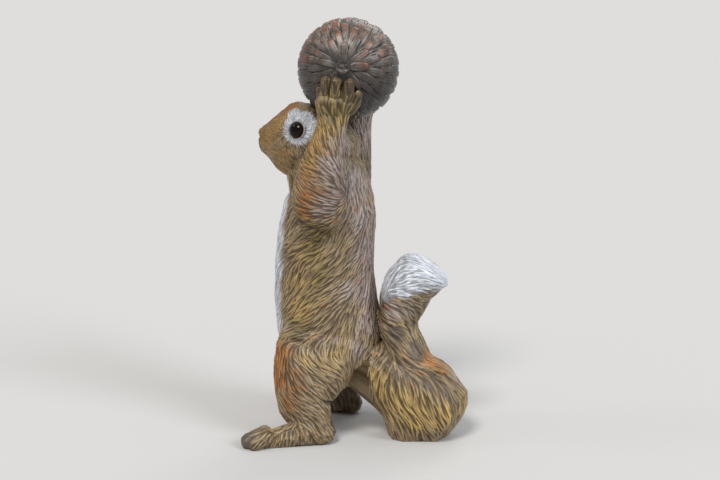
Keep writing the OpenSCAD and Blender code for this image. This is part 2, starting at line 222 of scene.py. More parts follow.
class Coat(Enum):
    """The kinds of fur and skin on the figurine."""

    BARE = Lock(6.0, 1.6, 0.0)
    FACE = Lock(3.4, 0.90, 0.15)
    PATCH = Lock(3.0, 0.90, 0.22)
    JAW = Lock(5.0, 1.00, 0.34)
    ARM = Lock(7.5, 1.10, 0.50)
    HAND = Lock(9.5, 1.35, 0.55)
    FINGER = Lock(7.0, 1.20, 0.30)
    BACK = Lock(6.5, 1.10, 0.42)
    FLANK = Lock(9.5, 1.20, 0.64)
    BELLY = Lock(8.5, 1.25, 0.60)
    THIGH = Lock(9.0, 1.20, 0.60)
    SHIN = Lock(7.0, 1.10, 0.46)
    FOOT = Lock(6.0, 1.10, 0.42)
    BRUSH = Lock(15.0, 1.40, 0.76)
    DOCK = Lock(11.0, 1.35, 0.68)
    PLUME = Lock(9.5, 1.30, 0.62)


class Paint(Enum):
    """The paints brushed over the brown ground, by the attribute and channel that hold each."""

    OCHRE = ("warm", 0)
    RUST = ("warm", 1)
    ROSE = ("warm", 2)
    # Umber is the dark brown of the fingers, nose tip and lids, a dark patch on the head behind the eye under
    # the cone, and painted shade inside the legs
    UMBER = ("warm", 3)
    WHITE = ("cool", 0)
    OLIVE = ("cool", 1)
    SLATE = ("cool", 2)
    FAWN = ("cool", 3)


@dataclass(frozen=True)
class Stroke:
    """One stroke of the comb: the coat there, a place on the left side, and the way the fur runs."""

    coat: Coat
    place: Triple
    run: Triple


@dataclass(frozen=True)
class Dab:
    """One soft dab of paint on the left side, which the right side repeats."""

    paint: Paint
    place: Triple
    radius: float
    strength: float = 1.0


@dataclass(frozen=True)
class Crease:
    """A line pressed into the form along a path on the left side, or raised where the depth is below zero."""

    path: tuple[Triple, ...]
    width: float
    depth: float


def combed(coat: Coat, *strokes: tuple[Triple, Triple]) -> list[Stroke]:
    """Strokes of one coat, each with its place and its run."""
    return [Stroke(coat, place, run) for place, run in strokes]


def dabbed(paint: Paint, *dabs: tuple[Triple, float] | tuple[Triple, float, float]) -> list[Dab]:
    """Dabs of one paint, each with its place, its radius and, where it is thin, its strength."""
    return [Dab(paint, *dab) for dab in dabs]


STROKES = (
    *combed(Coat.BARE, ((-68, 0, 198), (0.6, 0, 0.8)), ((-68, -3, 195), (0.85, -0.5, 0.15))),
    *combed(Coat.FACE,
        ((-60, 0, 205), (0.7, 0, 0.7)), ((-50, 0, 211), (0.9, 0, 0.4)), ((-44, -2, 214), (0.9, -0.1, 0.26)),
        ((-33, 0, 216), (1, 0, 0.05)), ((-22, 0, 214), (0.95, 0, -0.3)),
        ((-60, -11, 197), (0.85, -0.5, 0.15)), ((-54, -14, 203), (0.75, -0.2, 0.45)),
        ((-56, -16, 189), (0.8, -0.45, -0.3)), ((-64, -8, 190), (0.8, -0.5, -0.3)),
        ((-51, -19, 190), (0.76, -0.3, -0.55)), ((-47, -20, 184), (0.62, 0.01, -0.79)),
    ),
    *combed(Coat.JAW,
        ((-52, -15, 177), (0.57, 0.1, -0.79)), ((-48, -11, 168), (0.49, -0.1, -0.84)),
        ((-60, 0, 181), (0.6, 0, -0.8)), ((-50, 0, 172), (0.5, 0, -0.85)),
        ((-39, -23, 183), (0.47, 0, -0.88)),
    ),
    *combed(Coat.PATCH,
        ((-38, -15, 210), (-0.1, 0.7, 0.7)), ((-45, -16, 207), (-0.6, 0.3, 0.7)),
        ((-31, -16, 208), (0.3, 0.62, 0.7)), ((-26, -20, 203), (0.8, -0.1, 0.5)),
        ((-25, -22, 197), (0.95, 0.05, -0.2)), ((-29, -23, 191), (0.65, 0.1, -0.75)),
        ((-37, -24, 190), (-0.1, 0.04, -0.98)), ((-46, -21, 194), (-0.8, 0.28, -0.55)),
        ((-49, -18, 200), (-0.85, 0.5, 0.04)),
    ),
    *combed(Coat.FACE, ((-16, -12, 206), (0.7, 0, -0.7))),
    *combed(Coat.JAW, ((-14, -8, 192), (0.4, 0, -0.9))),
    *combed(Coat.ARM,
        ((-16, -41, 193), (-0.52, 0.2, 0.82)), ((-12, -41, 188), (-0.57, -0.08, 0.82)),
        ((-6, -37, 190), (-0.45, -0.1, 0.88)), ((-14, -39, 201), (-0.2, 0.2, 0.95)),
        ((-6, -38, 200), (0, 0.16, 0.99)), ((-20, -35, 196), (-0.2, 0.1, 0.97)),
        ((-12, -27, 195), (-0.1, 0, 0.99)), ((-8, -25, 175), (-0.2, 0, 0.98)),
    ),
    *combed(Coat.HAND,
        ((-15, -37, 212), (-0.17, 0.2, 0.96)), ((-7, -36, 212), (-0.02, 0.19, 0.98)),
        ((-1, -33, 214), (0.25, 0.2, 0.95)), ((-12, -30, 212), (0, 0, 1)),
    ),
    *combed(Coat.FINGER,
        ((-8, -34, 227), (0, 0.1, 0.99)), ((-18, -34, 227), (0, 0.1, 0.99)),
        ((2, -33, 223), (0.1, 0.1, 0.99)),
    ),
    *combed(Coat.ARM,
        ((-11, -41, 182), (-0.72, -0.15, 0.66)), ((-19, -42, 178), (-0.84, 0.1, 0.52)),
        ((-15, -42, 171), (-0.92, -0.1, 0.34)),
    ),
    *combed(Coat.FLANK, ((-21, -42, 163), (-0.96, 0.03, 0.24))),
    *combed(Coat.ARM, ((-4, -36, 172), (-0.5, -0.2, 0.82))),
    *combed(Coat.FLANK,
        ((-10, -39, 160), (-0.88, -0.35, 0.2)), ((-15, -40, 154), (-0.98, -0.15, 0.05)),
        ((-20, -40, 148), (-0.99, 0.02, -0.05)),
    ),
    *combed(Coat.BACK, ((-4, -33, 153), (-0.5, -0.5, -0.6)), ((-6, -33, 146), (-0.6, -0.45, -0.65))),
    *combed(Coat.ARM, ((-30, -36, 170), (-0.6, 0.2, 0.75))),
    *combed(Coat.BACK,
        ((-4, -20, 156), (-0.15, -0.24, -0.96)), ((-1, -5, 176), (0.2, 0, -0.98)),
        ((4, -13, 152), (-0.1, -0.2, -0.97)), ((5, -12, 131), (-0.15, -0.1, -0.98)),
        ((0, -18, 135), (-0.5, -0.5, -0.7)), ((6, -4, 113), (-0.05, -0.11, -0.99)),
        ((7, 0, 150), (0.05, 0, -1)), ((8, 0, 90), (0, 0, -1)),
    ),
    *combed(Coat.FLANK,
        ((-11, -27, 135), (-0.46, -0.11, -0.88)), ((-26, -31, 133), (-0.85, 0.2, -0.45)),
        ((-29, -28, 124), (-0.87, 0.11, -0.49)), ((-16, -27, 120), (-0.78, -0.22, -0.58)),
        ((-20, -27, 112), (-0.84, -0.14, -0.52)), ((-5, -23, 120), (-0.5, -0.35, -0.78)),
    ),
    *combed(Coat.BACK, ((-1, -18, 111), (-0.42, -0.45, -0.78))),
    *combed(Coat.FLANK,
        ((-13, -27, 101), (-0.72, -0.31, -0.62)), ((-27, -28, 98), (-0.84, 0.01, -0.54)),
        ((-14, -28, 89), (-0.74, -0.27, -0.6)),
    ),
    *combed(Coat.BACK, ((4, -15, 90), (-0.2, -0.42, -0.88))),
    *combed(Coat.FLANK,
        ((-5, -25, 80), (-0.42, -0.38, -0.82)), ((-34, -28, 82), (-0.79, 0.2, -0.57)),
        ((-36, -27, 111), (-0.5, 0.13, -0.86)), ((-39, -27, 88), (-0.58, 0.19, -0.79)),
    ),
    *combed(Coat.BELLY,
        ((-49, -16, 141), (-0.39, 0.3, -0.87)), ((-50, -19, 110), (-0.4, 0.35, -0.84)),
        ((-52, -18, 91), (-0.36, 0.4, -0.84)), ((-49, -21, 74), (-0.36, 0.38, -0.85)),
        ((-50, 0, 148), (-0.1, 0, -0.99)), ((-56, 0, 120), (0, 0, -1)), ((-57, 0, 92), (0, 0, -1)),
        ((-52, 0, 68), (0.3, 0, -0.95)), ((-38, 0, 54), (0.8, 0, -0.5)),
    ),
    *combed(Coat.FLANK,
        ((-35, -28, 77), (-0.93, 0.3, -0.22)), ((-37, -29, 72), (-0.9, 0.2, -0.38)),
        ((-24, -32, 71), (-0.62, -0.32, -0.7)),
    ),
    *combed(Coat.THIGH, ((-14, -34, 64), (-0.1, -0.42, -0.9)), ((-4, -29, 63), (0.01, -0.3, -0.95))),
    *combed(Coat.BACK, ((4, -20, 67), (-0.2, -0.42, -0.87))),
    *combed(Coat.THIGH,
        ((0, -26, 50), (0.04, 0.2, -0.96)), ((-7, -34, 53), (0.54, 0.17, -0.82)),
        ((-22, -39, 56), (0.49, -0.21, -0.85)), ((-34, -40, 50), (0.66, -0.25, -0.7)),
        ((-43, -36, 55), (-0.06, -0.3, -0.95)), ((-45, -38, 40), (0.35, -0.4, -0.84)),
        ((-32, -43, 36), (0.8, -0.13, -0.58)), ((-23, -41, 46), (0.85, 0.04, -0.52)),
        ((-15, -39, 46), (0.75, 0.2, -0.63)), ((-20, -41, 37), (0.76, 0.2, -0.6)),
        ((-14, -37, 36), (0.5, 0.42, -0.76)),
    ),
    *combed(Coat.SHIN,
        ((-19, -41, 26), (0.66, 0.3, -0.68)), ((-29, -43, 25), (0.75, 0.02, -0.66)),
        ((-37, -43, 24), (0.5, -0.09, -0.86)), ((-26, -44, 14), (0.66, -0.06, -0.74)),
        ((-16, -39, 18), (0.58, 0.37, -0.72)), ((-13, -38, 10), (0.62, 0.37, -0.69)),
        ((-9, -33, 8), (0.2, 0.5, -0.84)),
    ),
    *combed(Coat.THIGH, ((-30, -20, 42), (0.2, 0.1, -0.97))),
    *combed(Coat.SHIN, ((-26, -24, 22), (0.3, 0.1, -0.94))),
    *combed(Coat.THIGH, ((-8, -18, 45), (0.1, 0.2, -0.97))),
    *combed(Coat.FOOT,
        ((-40, -42, 14), (-0.8, -0.36, -0.46)), ((-50, -47, 12), (-0.86, -0.4, -0.28)),
        ((-46, -54, 6), (-0.4, -0.5, -0.75)), ((-35, -49, 6), (-0.15, -0.1, -0.98)),
        ((-26, -45, 6), (0.13, 0.2, -0.96)), ((-18, -41, 7), (0.49, 0.25, -0.84)),
        ((-55, -59, 6), (-0.73, -0.46, -0.5)), ((-42, -33, 6), (-0.3, 0.3, -0.9)),
        ((-52, -38, 6), (-0.5, 0.2, -0.85)),
    ),
    *combed(Coat.BARE,
        ((-65, -53, 7), (-0.9, -0.3, -0.3)), ((-64, -47, 7), (-0.9, -0.3, -0.3)),
        ((-60, -61, 4), (-0.8, -0.4, -0.4)), ((-68, -50, 4), (-0.9, -0.3, -0.3)),
    ),
    *combed(Coat.BRUSH,
        ((14, -17, 53), (-0.28, -0.56, -0.78)), ((9, -18, 33), (-0.12, 0.1, -0.98)),
        ((21, -21, 44), (-0.05, -0.32, -0.95)), ((29, -23, 36), (0.21, -0.17, -0.96)),
        ((40, -23, 34), (0.33, -0.12, -0.93)), ((47, -19, 41), (0.64, -0.18, -0.74)),
        ((55, -19, 33), (0.56, 0.03, -0.83)), ((58, -12, 40), (0.72, 0.1, -0.66)),
        ((66, -4, 31), (0.43, 0.1, -0.9)), ((66, 0, 16), (0.1, 0, -0.98)),
        ((50, -21, 19), (0.39, 0.16, -0.9)), ((35, -23, 15), (0.36, 0.16, -0.92)),
        ((22, -22, 23), (0.3, 0.1, -0.95)), ((4, -10, 40), (-0.1, -0.1, -0.98)),
        ((20, -8, 14), (0.5, 0, -0.85)),
    ),
    *combed(Coat.DOCK,
        ((48, -11, 49), (0.86, 0.1, -0.4)), ((34, -17, 54), (0.8, 0.1, -0.56)),
        ((24, -16, 66), (0.8, -0.1, -0.56)), ((27, -15, 74), (0.8, 0.2, -0.55)),
        ((33, -12, 80), (0.6, 0.4, -0.67)), ((38, -5, 70), (0.3, 0.1, -0.93)),
        ((42, 0, 60), (0.5, 0, -0.86)), ((20, -16, 83), (0.86, -0.4, -0.3)),
        ((14, -8, 74), (0.3, -0.6, -0.6)),
    ),
    *combed(Coat.PLUME,
        ((15, -10, 96), (0.3, -0.1, 0.94)), ((21, -9, 109), (0.62, -0.01, 0.78)),
        ((34, 0, 119), (1, 0, 0.05)), ((46, -4, 115), (0.75, 0.2, -0.5)),
        ((36, -16, 108), (0.98, 0.05, 0.05)), ((50, -8, 106), (0.8, 0.4, -0.3)),
        ((28, -18, 97), (0.97, -0.05, -0.12)), ((40, -14, 92), (0.74, 0.4, -0.4)),
    ),
)

DABS = (
    *dabbed(Paint.WHITE,
        ((-35.5, -20, 202), 12.2), ((-42, -13, 210), 4.5), ((-63, 0, 178), 4), ((-50, 0, 160), 13),
        ((-52, -6, 146), 14), ((-56, -7, 128), 16), ((-58, -7, 110), 17), ((-58, -7, 92), 16),
        ((-54, -8, 76), 14), ((24, -8, 111), 15), ((38, -10, 112), 16), ((54, -3, 108), 12),
        ((20, -14, 100), 9), ((31, -14, 102), 9),
    ),
    *dabbed(Paint.FAWN,
        ((-54, -12, 204), 12), ((-60, -8, 192), 12), ((-66, -3, 197), 9), ((-46, -16, 182), 10),
        ((-50, -9, 172), 10), ((-44, -2, 214), 9, 0.8), ((-20, -39, 192), 9, 0.9),
        ((-24, -40, 182), 9, 0.9), ((-16, -38, 202), 9, 0.9),
    ),
    *dabbed(Paint.OCHRE,
        ((-11, -36, 216), 8), ((-3, -35, 213), 8), ((-11, -37, 206), 8), ((-48, -19, 178), 7, 0.5),
        ((-34, -28, 121), 10, 0.7), ((-35, -28, 105), 11, 0.6), ((-35, -29, 86), 11, 0.9),
        ((-24, -28, 118), 8, 0.5), ((-28, -39, 56), 7, 0.6), ((-12, -36, 56), 9, 0.7),
        ((-4, -30, 62), 8, 0.6), ((30, -24, 28), 13, 0.9), ((41, -24, 17), 12), ((56, -21, 20), 11, 0.9),
        ((17, -22, 42), 10, 0.9), ((40, -24, 32), 9, 0.6), ((67, -6, 28), 9, 0.8), ((-46, -46, 12), 6, 0.7),
        ((-46, -53, 10), 7, 0.45), ((22, -23, 26), 13), ((43, -24, 26), 11), ((-51, -55, 8), 5, 0.6),
        ((-29, -46, 10), 6, 0.6),
    ),
    *dabbed(Paint.RUST,
        ((-60, -3, 207), 6), ((-49, -6, 212), 8), ((-25, -42, 172), 9, 0.55), ((-25, -42, 161), 9, 0.75),
        ((-17, -42, 165), 7, 0.5), ((-29, -40, 150), 7, 0.8), ((-45, -32, 55), 11), ((-46, -36, 42), 10),
        ((-34, -41, 48), 7, 0.6), ((-33, -43, 38), 9, 0.6), ((-38, -42, 28), 7, 0.8),
        ((45, -7, 53), 9, 0.8), ((53, -7, 47), 7, 0.7),
    ),
    *dabbed(Paint.ROSE,
        ((-6, -40, 180), 10, 0.9), ((-13, -42, 182), 9, 0.8), ((-9, -40, 197), 8, 0.5),
        ((-14, -41, 156), 10, 0.9), ((25, -18, 87), 8, 0.9), ((33, -14, 88), 7, 0.8),
        ((2, -24, 60), 8, 0.8), ((-4, 24, 200), 14), ((-12, -41, 172), 9, 0.6), ((-4, -37, 165), 10, 0.8),
        ((-4, -30, 192), 10, 0.9), ((-6, 22, 190), 14, 0.9), ((1, -12, 165), 15, 0.9),
        ((4, -13, 145), 15, 0.9), ((5, -8, 122), 15), ((6, -8, 98), 15), ((4, -12, 76), 12, 0.8),
        ((-3, -21, 99), 9, 0.7), ((61, -2, 41), 7, 0.5),
    ),
    *dabbed(Paint.OLIVE,
        ((-43, -18, 166), 7, 0.9), ((-41, -20, 174), 6, 0.8), ((-30, -36, 142), 9), ((-21, -34, 138), 9),
        ((-26, -29, 128), 10, 0.8), ((-19, -28, 111), 10, 0.6), ((-24, -28, 96), 10, 0.5),
        ((-33, -30, 72), 9, 0.6), ((-38, -27, 100), 9, 0.4), ((-33, -38, 153), 6, 0.6),
        ((-10, -36, 216), 11), ((0, -33, 217), 8, 0.8), ((53, -11, 46), 8, 0.9), ((68, -9, 30), 7, 0.7),
        ((-24, -30, 103), 9, 0.6),
    ),
    *dabbed(Paint.SLATE,
        ((-65, -52, 6), 8), ((-60, -60, 4), 6, 0.8), ((-66, -44, 5), 7, 0.8), ((27, -17, 71), 9, 0.6),
        ((38, -11, 59), 9, 0.7),
    ),
    *dabbed(Paint.UMBER,
        ((-18, -36, 229), 6), ((-11, -34, 232), 7), ((0, -34, 230), 6.5), ((6, -33, 221), 5),
        ((-23, -34, 226), 4.5), ((-70, 0, 197), 3.4, 0.7), ((-37.8, -23.6, 200.4), 6), ((-21, -14, 212), 9),
        # The two dabs below are painted shade: they darken the inner sides of the legs under the belly, where
        # shade falls.
        ((4, -22, 20), 12), ((-17, -25, 12), 11),
    ),
)

CREASES = (
    # The fold over the thigh, the hollow under the elbow, the root of the plume and the throat
    Crease(((-46, -29, 65), (-39, -32, 67), (-33, -34, 66), (-27, -35, 65)), 1.6, 1.3),
    Crease(((-34, -34, 146), (-31, -36, 144), (-25, -37, 141), (-19, -35, 138), (-15, -30, 134)), 1.9, 1.4),
    Crease(((10, -14, 78), (17, -15, 76), (23, -18, 76)), 1.4, 0.8),
    Crease(((-39, -22, 181), (-41, -18, 173), (-43, -16, 164), (-44, -15, 157)), 1.9, 1.2),
    # The mouth, the lower lip and the nostril
    Crease(((-71, 0, 193.4), (-69, -4, 193.4), (-67, -7, 193)), 0.8, 0.7),
    Crease(((-68, 0, 186), (-66, -5, 186), (-62, -9, 185)), 0.8, 0.5),
    Crease(((-70.5, -2.6, 197.0), (-69.8, -3.4, 197.6)), 0.8, 0.8),
    # Knuckles
    Crease(((-17, -38, 219), (-17, -38, 220)), 2.3, -0.8),
    Crease(((-11, -38, 220), (-11, -38, 221)), 2.3, -0.8),
    Crease(((-4, -37, 220), (-4, -37, 221)), 2.3, -0.8),
    Crease(((2, -35, 216), (2, -35, 217)), 2.2, -0.8),
    # Fingers
    Crease(((-19.4, -37, 217), (-19.7, -35, 226)), 4.0, -0.8),
    Crease(((-16.2, -37, 217), (-14.9, -34, 231)), 4.0, -0.9),
    Crease(((-9.7, -37, 218), (-8, -34, 230)), 4.2, -0.9),
    Crease(((-3.2, -37, 217), (0, -33, 230)), 4.2, -0.9),
    # The brow
    Crease(((-52, 0, 208), (-44, 0, 213)), 5.0, -0.9),
    # Tendons of the hand
    Crease(((-17, -38, 218), (-15, -38, 206)), 1.5, -0.6),
    Crease(((-11, -38, 218), (-11, -39, 204)), 1.5, -0.6),
    Crease(((-4, -37, 218), (-7, -38, 206)), 1.5, -0.6),
)


class CombedFlow:
    """The way the fur runs and how it is carved, anywhere on the skin."""

    BATCH = 20000
    # A stroke counts as much as its slope agrees with the place's: middle, gain, least and power
    MIDDLE, GAIN, LEAST, POWER = 0.5, 0.6, 0.03, 3
    # Added to the square distance, so that a stroke's own place isn't its alone
    SOFTENING = 6.0

    def __init__(self, strokes: Sequence[Stroke], tree: BVHTree) -> None:
        """Repeat the strokes on the right side, and note the skin's slope under each."""
        flip = np.array([1, -1, 1])
        places = np.array([stroke.place for stroke in strokes], float)
        runs = np.array([stroke.run for stroke in strokes], float)
        sizes = np.array([(s.coat.value.length, s.coat.value.width, s.coat.value.depth) for s in strokes])
        self.places = np.vstack([places, places * flip])
        self.runs = unit(np.vstack([runs, runs * flip]))
        self.sizes = np.vstack([sizes, sizes])
        found = [tree.find_nearest(Vector(place))[1] for place in self.places]
        self.slopes = np.array([tuple(slope) for slope in found])

    def read(self, points: np.ndarray, normals: np.ndarray) -> tuple[np.ndarray, np.ndarray]:
        """Blend the strokes near each point.

        Args:
            points: Places on the skin.
            normals: The skin's outward directions there.

        Returns:
            The way the fur runs along the skin, and the length, width and depth of its locks.
        """
        runs = np.empty_like(points)
        sizes = np.empty_like(points)
        square = (self.places**2).sum(1)
        for start in range(0, len(points), self.BATCH):
            part = slice(start, start + self.BATCH)
            gap = (points[part] ** 2).sum(1)[:, None] + square - 2 * points[part] @ self.places.T
            facing = self.MIDDLE + self.GAIN * normals[part] @ self.slopes.T
            agree = np.clip(facing, self.LEAST, 1) ** self.POWER
            weight = agree / (np.maximum(gap, 0) + self.SOFTENING) ** 2
            runs[part] = weight @ self.runs
            sizes[part] = weight @ self.sizes / weight.sum(1, keepdims=True)
        runs -= normals * dots(runs, normals)[:, None]
        return unit(runs), sizes


class Skin:
    """The joined surface of the castings, held as arrays in millimetres while it is carved."""

    def __init__(self, piece: Piece) -> None:
        """Read the piece's points and edges."""
        mesh = piece.data
        self.piece = piece
        self.points = np.empty(len(mesh.vertices) * 3, np.float32)
        mesh.vertices.foreach_get("co", self.points)
        self.points = self.points.reshape(-1, 3).astype(float) / MM
        edges = np.empty(len(mesh.edges) * 2, np.int32)
        mesh.edges.foreach_get("vertices", edges)
        self.edges = edges.reshape(-1, 2)
        self.degree = np.maximum(np.bincount(self.edges.ravel(), minlength=len(self.points)), 1)

    def normals(self) -> np.ndarray:
        """Outward directions at the points, as the mesh now stands."""
        self.write()
        found = np.empty(len(self.points) * 3, np.float32)
        self.piece.data.vertex_normals.foreach_get("vector", found)
        return found.reshape(-1, 3).astype(float)

    def write(self) -> None:
        """Put the points back into the mesh."""
        self.piece.data.vertices.foreach_set("co", (self.points * MM).astype(np.float32).ravel())
        self.piece.data.update()

    def average(self, values: np.ndarray) -> np.ndarray:
        """Averages of each point's neighbours along the edges."""
        one, two = self.edges[:, 0], self.edges[:, 1]
        total = np.empty_like(values)
        for column in range(values.shape[1]):
            total[:, column] = np.bincount(one, values[two, column], len(values))
            total[:, column] += np.bincount(two, values[one, column], len(values))
        return total / self.degree[:, None]

    def relax(self, rounds: int, inward: float = 0.6, outward: float = 0.62) -> None:
        """Smooth the form without shrinking it much.

        Args:
            rounds: How often to smooth.
            inward: Share of the way to the neighbours' average.
            outward: Share of the way back after it.
        """
        for _ in range(rounds):
            self.points += inward * (self.average(self.points) - self.points)
            self.points -= outward * (self.average(self.points) - self.points)

    def tree(self) -> BVHTree:
        """A search tree of the form in millimetres."""
        faces = [tuple(face.vertices) for face in self.piece.data.polygons]
        return BVHTree.FromPolygons([tuple(point) for point in self.points], faces)


@dataclass
class FurCarver:
    """Cuts the locks of fur into the skin and notes what the painter needs."""

    skin: Skin
    flow: CombedFlow
    tree: BVHTree
    # Beads on a lock, and one point of the skin in how many may be a root
    samples: int = 10
    sparseness: int = 5
    # Room round a root, as shares of the lock's length and width, and the least depth of fur
    spread_along: float = 0.42
    spread_across: float = 0.86
    least_depth: float = 0.12
    # What chance does to a lock's length, width, height and heading
    length_range: Pair = (0.75, 1.25)
    width_range: Pair = (0.85, 1.20)
    rise_range: Pair = (-0.10, 0.14)
    bias: float = 0.10
    curl: float = 0.35
    # Slow waves in the heading
    wave_sizes: Triple = (5.5, 4.0, 7.5)
    wave_strength: float = 0.11
    # How far a bead reaches, its share of a step, and how far its slope may differ
    reach: float = 1.9
    bead: float = 0.62
    facing: float = 0.3
    # The lock's outline from root to point, and how it rises on the way
    half_width: float = 0.625
    root_width: float = 0.45
    widening: float = 0.4
    point_power: float = 3.2
    root_height: float = 0.34
    climb: float = 0.62
    climb_end: float = 0.75
    # How far the fur stands proud, where it thins out over the soles, and what counts as furred
    proud: float = 0.22
    soles: Pair = (0.2, 1.6)
    thin: Pair = (0.05, 0.30)
    # What the painter needs: the highest lock at each point, with its height and place along it
    height: np.ndarray = field(init=False)
    along: np.ndarray = field(init=False)
    winner: np.ndarray = field(init=False)
    choice: np.ndarray = field(init=False)
    furred: np.ndarray = field(init=False)

    def sow(self, normals: np.ndarray, rng: np.random.Generator) -> np.ndarray:
        """Choose where the locks start, none too near another beside it or along it.

        Args:
            normals: The skin's outward directions.
            rng: The source of chance.

        Returns:
            The chosen points' indices.
        """
        count = len(self.skin.points)
        picked = rng.choice(count, count // self.sparseness, replace=False)
        points = self.skin.points[picked]
        runs, sizes = self.flow.read(points, normals[picked])
        keep = sizes[:, 2] > self.least_depth
        picked, points, runs, sizes = picked[keep], points[keep], runs[keep], sizes[keep]
        along, across = self.spread_along * sizes[:, 0], self.spread_across * sizes[:, 1]
        rivals = []
        for one, two in near_pairs(points, points, float(along.max())):
            gap = points[two] - points[one]
            ahead = dots(gap, runs[one])
            aside = (gap**2).sum(1) - ahead**2
            close = (ahead / along[one]) ** 2 + aside / across[one] ** 2 < 1
            close &= one != two
            rivals.append(np.stack([one[close], two[close]], 1))
        rivals = np.concatenate(rivals)
        rivals = np.concatenate([rivals, rivals[:, ::-1]])
        return picked[self.settle(rivals, rng.permutation(len(points)).astype(float))]

    def settle(self, rivals: np.ndarray, rank: np.ndarray) -> np.ndarray:
        """Let the higher ranks drive their rivals out, until none is left.

        Args:
            rivals: Pairs of roots that are too near each other, each pair both ways round.
            rank: The roots' ranks.

        Returns:
            Whether each root stays.
        """
        count = len(rank)
        alive = np.ones(count, bool)
        chosen = np.zeros(count, bool)
        while alive.any():
            rivals = rivals[alive[rivals[:, 0]] & alive[rivals[:, 1]]]
            best = np.full(count, -1.0)
            np.maximum.at(best, rivals[:, 0], rank[rivals[:, 1]])
            won = alive & (rank > best)
            chosen |= won
            alive &= ~won
            alive[rivals[won[rivals[:, 0]], 1]] = False
        return chosen

    def walk(
        self, starts: np.ndarray, normals: np.ndarray, rng: np.random.Generator
    ) -> dict[str, np.ndarray]:
        """Lead every lock along the skin from its root.

        Args:
            starts: The roots' indices.
            normals: The skin's outward directions.
            rng: The source of chance.

        Returns:
            Each lock's places, directions, slopes and sizes along its way.
        """
        place = self.skin.points[starts].copy()
        slope = normals[starts].copy()
        count = len(starts)
        _, sizes = self.flow.read(place, slope)
        lengths = sizes[:, 0] * rng.uniform(*self.length_range, count)
        bias = rng.normal(0, self.bias, count)
        curl = rng.normal(0, self.curl, count)
        ways = unit(rng.normal(size=(3, 3))) / np.array(self.wave_sizes)[:, None]
        phases = rng.uniform(0, PHASES, 3)
        places, turns, slopes = [], [], []
        for step in range(self.samples):
            runs, _ = self.flow.read(place, slope)
            wave = np.sin(place @ ways.T + phases).sum(1) * self.wave_strength
            angle = wave + bias + curl * (step / self.samples - 0.5)
            side = np.cross(slope, runs)
            runs = runs * np.cos(angle)[:, None] + side * np.sin(angle)[:, None]
            places.append(place.copy())
            turns.append(runs)
            slopes.append(slope.copy())
            ahead = place + runs * (lengths / (self.samples - 1))[:, None]
            for index, point in enumerate(ahead):
                place[index], slope[index], _, _ = self.tree.find_nearest(point)
        return {
            "places": np.stack(places, 1),
            "turns": np.stack(turns, 1),
            "slopes": np.stack(slopes, 1),
            "lengths": lengths,
            "widths": sizes[:, 1] * rng.uniform(*self.width_range, count),
            "rise": rng.uniform(*self.rise_range, count),
        }

    def stamp(self, locks: dict[str, np.ndarray], normals: np.ndarray) -> None:
        """Find the highest lock over each point of the skin.

        Args:
            locks: The locks' ways.
            normals: The skin's outward directions.
        """
        count = len(self.skin.points)
        self.height = np.zeros(count)
        self.along = np.zeros(count)
        self.winner = np.full(count, -1)
        step = locks["lengths"] / (self.samples - 1)
        places, turns, slopes = (locks[name].reshape(-1, 3) for name in ("places", "turns", "slopes"))
        for bead, point in near_pairs(places, self.skin.points, self.reach):
            lock, order = bead // self.samples, bead % self.samples
            gap = self.skin.points[point] - places[bead]
            ahead = dots(gap, turns[bead])
            aside = np.sqrt(np.maximum((gap**2).sum(1) - ahead**2, 0))
            share = (order + ahead / step[lock]) / (self.samples - 1)
            fits = (np.abs(ahead) < self.bead * step[lock]) & (share > 0) & (share < 1)
            fits &= dots(normals[point], slopes[bead]) > self.facing
            lock, point, share, aside = lock[fits], point[fits], share[fits], aside[fits]
            taper = np.minimum(1, self.root_width + share / self.widening)
            taper *= np.sqrt(1 - share**self.point_power)
            off = aside / (self.half_width * locks["widths"][lock] * taper + TINY)
            rise = self.root_height + self.climb * ramp(share, 0, self.climb_end) + locks["rise"][lock]
            height = rise * (1 - np.minimum(off, 1) ** 2)
            order = np.lexsort((height, point))
            if len(order):
                order = order[np.append(point[order][1:] != point[order][:-1], True)]
            better = order[height[order] > self.height[point[order]]]
            self.height[point[better]] = height[better]
            self.along[point[better]] = share[better]
            self.winner[point[better]] = lock[better]

    def carve(self, rng: np.random.Generator) -> dict[str, np.ndarray]:
        """Cut the fur.

        Args:
            rng: The source of chance.

        Returns:
            The locks' ways, for the painter.
        """
        normals = self.skin.normals()
        starts = self.sow(normals, rng)
        locks = self.walk(starts, normals, rng)
        self.stamp(locks, normals)
        _, sizes = self.flow.read(self.skin.points, normals)
        self.furred = ramp(sizes[:, 2], *self.thin)
        depth = sizes[:, 2] * ramp(self.skin.points[:, 2], *self.soles)
        self.choice = rng.uniform(0, 1, len(starts))
        push = depth * (self.height - 1) + self.proud * np.minimum(1, depth)
        self.skin.points += normals * push[:, None]
        self.skin.points[:, 2] = np.maximum(self.skin.points[:, 2], 0)
        log.info("%d locks of fur", len(starts))
        return locks


